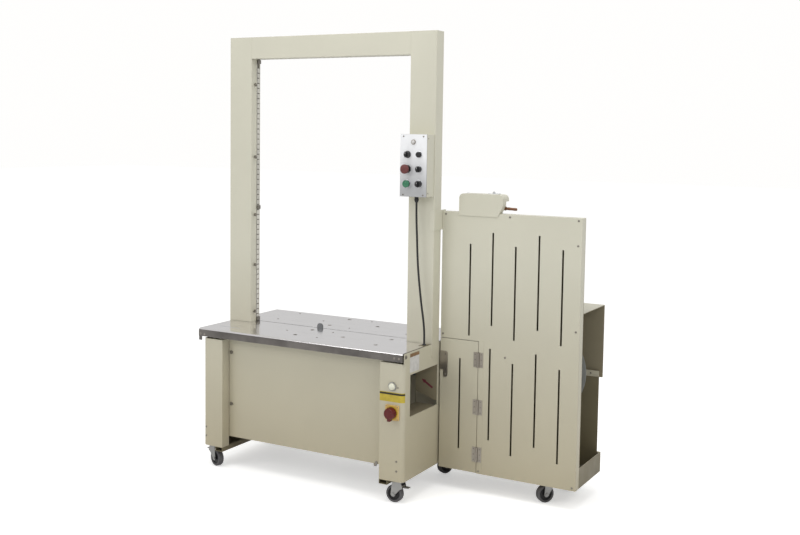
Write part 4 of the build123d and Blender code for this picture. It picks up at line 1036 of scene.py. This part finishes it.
# %% Rollers and lever
def rolled(name, node, radius, bore, material, slot):
    """A roller with a knurled or ribbed tread, from its node's place."""
    lowest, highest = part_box(node)
    length = (highest.y - lowest.y) / MM
    place = (middle(node).x, highest.y, middle(node).z)
    tube = ring("tube", radius - 0.5, bore, length, 0.6)
    bands = spread(ring("band", radius, radius - 1.4, 3.2, 0.5),
                   [(0, 0, height * MM) for height in (2.0, 7.0, 12.0, 17.0, 22.0)])
    return finish(put(joined(name, [tube] + bands), place, TO_FRONT), node, material, slot, node)


rolled("feed_roller_tread", "feed_roller", 18, 6.05, roller_rubber, "roller_rubber")
rolled("pressure_roller_tread", "pressure_roller", 14, 4.05, zinc, "zinc_steel")
lever = coated(refined("release_lever", 0.0008), zinc)
lever_y = DISPENSER_Y + 39.5
handle_start, handle_end = at(841, lever_y, 1247.6), at(879, lever_y, 1246)
sleeve = turned("sleeve", [(5.4, 0), (6.2, 1.5), (6.4, 10), (5.6, 22), (6.2, 32), (6.2, 40),
                           (5, 43.5), (3, 44.6)], 28)
put(sleeve, handle_start, handle_end - handle_start)
knee = put(turned("knee", [(8, 0), (8.6, 0.8), (8.6, 6.2), (8, 7)], 28), at(832, 61, 1248),
           TO_FRONT)
for brown_piece in (sleeve, knee):
    coated(brown_piece, brown_grip)
finish(joined("feed_release_lever", [lever, sleeve, knee]), "release_lever", None, "lever_brown",
       "release_lever")
print("lever with its grip")

# %% Bolts on the feed cover
cover_top = high("feed_cover").z
small_bolt = put(screw_head("small_bolt", 4.2, 3.0), (at(655, 0, 0).x, 0.060, cover_top))
top_plate = block("top_plate", at(748, 60, 1306.5), at(800, 78, 1309.5), 0.001)
stud_foot = at(773, 69, 1309.5)
top_nut = put(hex_head(6.2, 5.0), stud_foot)
top_stud = put(turned("stud", [(2.6, 0), (2.6, 8.4), (2.0, 9)], 20), stud_foot)
finish(joined("feed_cover_bolts", [small_bolt, top_plate, top_nut, top_stud]), "machine", zinc,
       "zinc_steel")


# %% Gear motors with turned cooling fins
def finned(name, radius, length, fins):
    """A motor body along +Z: a smooth end bell, then fins, then a smooth end bell."""
    bell = length * 0.16
    profile = [(radius * 0.86, 0), (radius, 2), (radius, bell)]
    pitch = (length - 2 * bell) / fins
    for fin in range(fins):
        foot = bell + fin * pitch
        half_way = foot + pitch * 0.5
        profile += [(radius * 0.9, foot), (radius * 0.9, half_way), (radius, half_way),
                    (radius, foot + pitch)]
    profile += [(radius, length - 2), (radius * 0.86, length)]
    return turned(name, profile, 40)


DRIVE_Y, DRIVE_Z = 190, 490
cowl = turned("drive_cowl", [(43, 0), (44, 2), (44, 24), (41, 29), (38, 30), (14, 30), (12, 27)])
drive = [put(finned("drive_body", 50, 160, 9), at(210, DRIVE_Y, DRIVE_Z), TO_RIGHT),
         put(cowl, at(370, DRIVE_Y, DRIVE_Z), TO_RIGHT),
         block("drive_saddle", at(250, 180, 530), at(320, 232, 560), 0.002)]
finish(joined("drive_motor_body", drive), "machine", motor_paint, "motor_grey", "drive_motor")
feed_body = put(finned("feed_body", 30, 91, 7), at(735, 156, 1250), TO_FRONT)
flange = coated(refined("feed_motor", 0.0008), motor_paint)
flange_bolts = spread(coated(hex_head(5.2, 3.4), screw_steel),
                      [at(x, 65, z) for x in (708, 792) for z in (1190, 1270)], -TO_FRONT)
feed_parts = [flange, coated(feed_body, motor_paint)] + flange_bolts
finish(joined("feed_motor_body", feed_parts), "machine", None, "motor_grey", "feed_motor")
print("two motors")

# %% [markdown]
# ## Reel
# An empty reel stands on a fixed shaft in the cabinet. Its thin flanges are pressed from sheet, so
# each has a rolled rim, a raised ring half-way and a hub plate with bolts.

# %% Reel and shaft
REEL_FRONT_Y, REEL_BACK_Y, SHAFT_FACE_Y = 0.0920, 0.2980, 0.0670
reel_middle = middle("strap_reel")
reel_parts = [refined("strap_reel", 0.0006)]
for y, out in ((REEL_FRONT_Y, TO_FRONT), (REEL_BACK_Y, -TO_FRONT)):
    face = Vector((reel_middle.x, y, reel_middle.z))
    reel_parts.append(put(ring("rim", 199.9, 196, 1.8, 0.7, 96), face - out * 0.0012, out))
    reel_parts.append(put(ring("pressing", 150, 142, 1.4, 0.5, 80), face - out * 0.0006, out))
    reel_parts.append(put(ring("hub_plate", 62, 24, 1.6, 0.5, 56), face - out * 0.0002, out))
    reel_parts += spread(hex_head(5.0, 3.0),
                         bolt_circle(face + out * 0.0012, 0.048, range(0, 360, 60)), out)
finish(joined("strap_reel_body", reel_parts), "strap_reel", reel_paint, "reel_grey", "strap_reel")
shaft_face = Vector((reel_middle.x, SHAFT_FACE_Y, reel_middle.z))
shaft_bolts = spread(hex_head(5.0, 3.2), bolt_circle(shaft_face, 0.033, range(45, 360, 90)),
                     -TO_FRONT)
finish(joined("reel_shaft_and_bolts", [refined("reel_shaft", 0.0010)] + shaft_bolts), "machine",
       zinc, "zinc_steel", "reel_shaft")
print("reel of", len(reel_parts), "pieces")

# %% The strip along the foot of the hood, its screws, and bolts on the cabinet's floor
LIP_FRONT, LIP_LOW, LIP_HIGH = 322.0, 511.2, 537.0
CABINET_FLOOR = 104
lip = block("hood_foot_strip", at(562, LIP_FRONT, LIP_LOW), at(1177, LIP_FRONT + 2.9, LIP_HIGH),
            0.0006)
finish(lip, "machine", cream, "cream_paint")
lip_screws = spread(screw_head("lip_screw", 4.0, 1.6),
                    [at(x, LIP_FRONT, (LIP_LOW + LIP_HIGH) / 2) for x in (600, 780, 960, 1140)],
                    TO_FRONT)
floor_bolts = spread(hex_head(6.5, 4.5), [at(1046 + dx, y + dy, CABINET_FLOOR) for y in (88, 285)
                                          for dx in (-22, 22) for dy in (-22, 22) if y + dy > 70])
floor_bolts += spread(hex_head(8.5, 9), [at(x, y, CABINET_FLOOR)
                                         for x, y in ((1118, 304), (1152, 300), (1166, 96))])
finish(joined("cabinet_bolts", lip_screws + floor_bolts), "machine", screw_steel, "zinc_steel")

# %% [markdown]
# ## Sealing head
# The press under the slot is a machined casting with bolted cheeks; three cams on one shaft work
# it. It shows only through the slot and from below, so its own shape with broken edges and bolts
# is enough.

# %% Head and cams
HEAD_HALF = 180
head_bolts = []
for side_of_head in (LEFT, RIGHT):
    places = [at(side_of_head * HEAD_HALF, y, z) for y in (-45, 45) for z in (440, 575)]
    head_bolts += spread(coated(hex_head(7, 4), screw_steel), places, side_of_head * TO_RIGHT)
head_parts = [coated(refined("sealing_head", 0.0010), casting)] + head_bolts
finish(joined("sealing_press", head_parts), "machine", None, "cast_housing", "sealing_head")
finish(refined("cam_shaft", 0.0008), "cam_shaft", zinc, "zinc_steel", "cam_shaft")

# %% Foot bracket of the front panel
bracket = [block("bracket_step", at(378, -253, 135), at(390, -246, 147), 0.001),
           block("bracket_foot", at(384, -252, 143), at(396, -246, 156), 0.001)]
finish(joined("panel_foot_bracket", bracket), "machine", screw_steel, "zinc_steel")
print("head, cams and bracket")

# %% [markdown]
# ## Casters
# Six swivel casters with grey elastic tyres on black cores. Each is modelled in its own frame, the
# stem on the Z axis and the wheel trailing along +X, then turned and moved to its swivel, which
# the frame's joints give. The forks keep the CAD shape and get a ball race and axle nuts.

# %% Where each caster stands
joints = {joint["name"]: joint for joint in frame["joints"]}
WHEEL_R, TRAIL = 37.5, 17.0


def caster_turn(caster):
    """Moves a shape from the caster's own frame, in metres, to its place under the machine."""
    swivel = Vector(joints[caster + "_swivel"]["pos_m"])
    axle = Vector(joints[caster + "_roll"]["pos_m"])
    heading = (axle - swivel).to_2d().to_3d().normalized()
    swing = Matrix((heading, UP.cross(heading), UP)).transposed().to_4x4()
    return Matrix.Translation((swivel.x, swivel.y, 0)) @ swing


# %% Patterns of the wheel, the fork's fittings and the pedal's ridges
AXLE = Vector((TRAIL * MM, 0, WHEEL_R * MM))
ACROSS = Vector((0, 1, 0))
tyre = put(ring("tyre", WHEEL_R, 27, 28, 5.5, 56, 5), AXLE - ACROSS * 0.014, ACROSS)
coated(tyre, tyre_rubber)
core_parts = [put(ring("core", 27.4, 9.5, 17, 0.8, 48), AXLE - ACROSS * 0.0085, ACROSS),
              put(ring("lip", 27.4, 24.6, 23, 0.8, 48), AXLE - ACROSS * 0.0115, ACROSS),
              put(ring("hub", 10, 4.05, 31, 0.8, 32), AXLE - ACROSS * 0.0155, ACROSS)]
core = coated(joined("core", core_parts), core_black)
wheel_pattern = joined("wheel_pattern", [tyre, core])
race = ring("race", 26.6, 20, 3.0, 0.9, 48)
race.data.transform(Matrix.Translation((0, 0, 0.0932)))
nuts = [put(hex_head(7.4, 3.0), AXLE + ACROSS * side_y * 0.019, ACROSS * side_y)
        for side_y in (1, -1)]
fork_pattern = joined("fork_pattern", [race] + nuts)
ridges = [block("ridge", (x * MM, -0.0105, 0.0716), ((x + 2.2) * MM, 0.0105, 0.0728), 0.0005, 1)
          for x in (-50, -45, -40, -35)]
ridge_pattern = joined("ridge_pattern", ridges)
print("wheel pattern:", len(wheel_pattern.data.polygons), "faces")

# %% Place the six casters
CASTERS = [name[:-len("_swivel")] for name in joints if name.endswith("_swivel")]
CASTER_PATTERNS = (wheel_pattern, fork_pattern, ridge_pattern)
for caster in CASTERS:
    wheel_node, fork_node, brake_node = (caster + end for end in ("_wheel", "_fork", "_brake"))
    wheel, fittings, pedal_ridges = (another(one) for one in CASTER_PATTERNS)
    for piece in (wheel, fittings, pedal_ridges):
        piece.data.transform(caster_turn(caster))
    wheel.name = caster + "_tyre_and_core"
    finish(wheel, wheel_node, None, "caster_tyre", wheel_node)
    fork = joined(caster + "_fork_body", [refined(fork_node, 0.0009), fittings])
    finish(fork, fork_node, fork_zinc, "zinc_steel", fork_node)
    if brake_node in frame["nodes"]:
        pedal = joined(caster + "_brake_pedal", [refined(brake_node, 0.0008), pedal_ridges])
        finish(pedal, brake_node, fork_zinc, "zinc_steel", brake_node)
    else:
        bpy.data.objects.remove(pedal_ridges)
for pattern_piece in CASTER_PATTERNS:
    bpy.data.objects.remove(pattern_piece)

# %% Caster plates with their bolts
BOLT_OUT = 0.022
plate_bolts = []
for lowest, highest in solids_of("caster_plates"):
    centre = centre_of((lowest, highest))
    places = [(centre.x + dx, centre.y + dy, lowest.z)
              for dx in (-BOLT_OUT, BOLT_OUT) for dy in (-BOLT_OUT, BOLT_OUT)]
    plate_bolts += spread(hex_head(4.6, 3.0), places, -UP)
finish(joined("caster_top_plates", [refined("caster_plates", 0.0008)] + plate_bolts), "machine",
       zinc, "zinc_steel", "caster_plates")
print(len(CASTERS), "casters,", len(plate_bolts), "plate bolts")

# %% [markdown]
# ## Light and floor
# A studio: a pale floor and a pale surround, a large soft key from the front left and above, one
# overhead, and a weaker fill high on the right, so that no shadow is hard. The floor glows a little
# to the camera only, so that it meets the surround without a horizon.

# %% Surround
world = bpy.data.worlds.new("studio")
bpy.context.scene.world = world
world.use_nodes = True
SEEN, GIVEN = 1.0, 0.62     # how bright the surround looks, and how much light it gives
surround = world.node_tree.nodes["Background"]
surround.inputs["Color"].default_value = (1.0, 0.995, 0.985, 1)
ray = world.node_tree.nodes.new("ShaderNodeLightPath")
strength = world.node_tree.nodes.new("ShaderNodeMapRange")
strength.inputs["To Min"].default_value = GIVEN
strength.inputs["To Max"].default_value = SEEN
world.node_tree.links.new(ray.outputs["Is Camera Ray"], strength.inputs["Value"])
world.node_tree.links.new(strength.outputs["Result"], surround.inputs["Strength"])

# %% Soft boxes
def soft_box(name, stand, towards, size, power):
    data = bpy.data.lights.new(name, "AREA")
    data.shape = "RECTANGLE"
    data.size, data.size_y = size
    data.energy = power
    light = bpy.data.objects.new(name, data)
    bpy.context.scene.collection.objects.link(light)
    aim = (Vector(towards) - Vector(stand)).to_track_quat("-Z", "Y")
    light.matrix_world = Matrix.Translation(stand) @ aim.to_matrix().to_4x4()
    return light


soft_box("key", (-2.2, -4.6, 3.6), (0.0, 0.0, 0.9), (2.6, 2.2), 50)
soft_box("overhead", (0.2, -0.6, 4.4), (0.0, 0.0, 0.6), (3.4, 2.4), 70)
soft_box("right_fill", (3.6, -1.4, 3.3), (0.2, 0.0, 1.8), (1.6, 1.2), 26)
print("three soft boxes and a pale surround")

# %% Floor
deselect()
bpy.ops.mesh.primitive_plane_add(size=60, location=(0, 0, -0.0002))
floor = bpy.context.object
floor.name = "studio_floor"
floor_material, floor_shader = blank("studio_floor", 0.0)
floor_tone = blended(floor_material, pattern(floor_material, EVEN, 0.6, 3), (0.90, 0.90, 0.89),
                     (0.93, 0.93, 0.92))
feed(floor_material, floor_tone, floor_shader.inputs["Base Color"])
seen_floor = floor_material.node_tree.nodes.new("ShaderNodeLightPath")
FLOOR_GLOW = 0.46
glow = between(floor_material, seen_floor.outputs["Is Camera Ray"], 0, FLOOR_GLOW, (0, 1))
feed(floor_material, glow, floor_shader.inputs["Emission Strength"])
floor_shader.inputs["Emission Color"].default_value = (1, 1, 1, 1)
floor_shader.inputs["Roughness"].default_value = 0.8
floor.data.materials.append(floor_material)

scene = bpy.context.scene
scene.view_settings.view_transform = "Standard"
scene.cycles.use_denoising = True
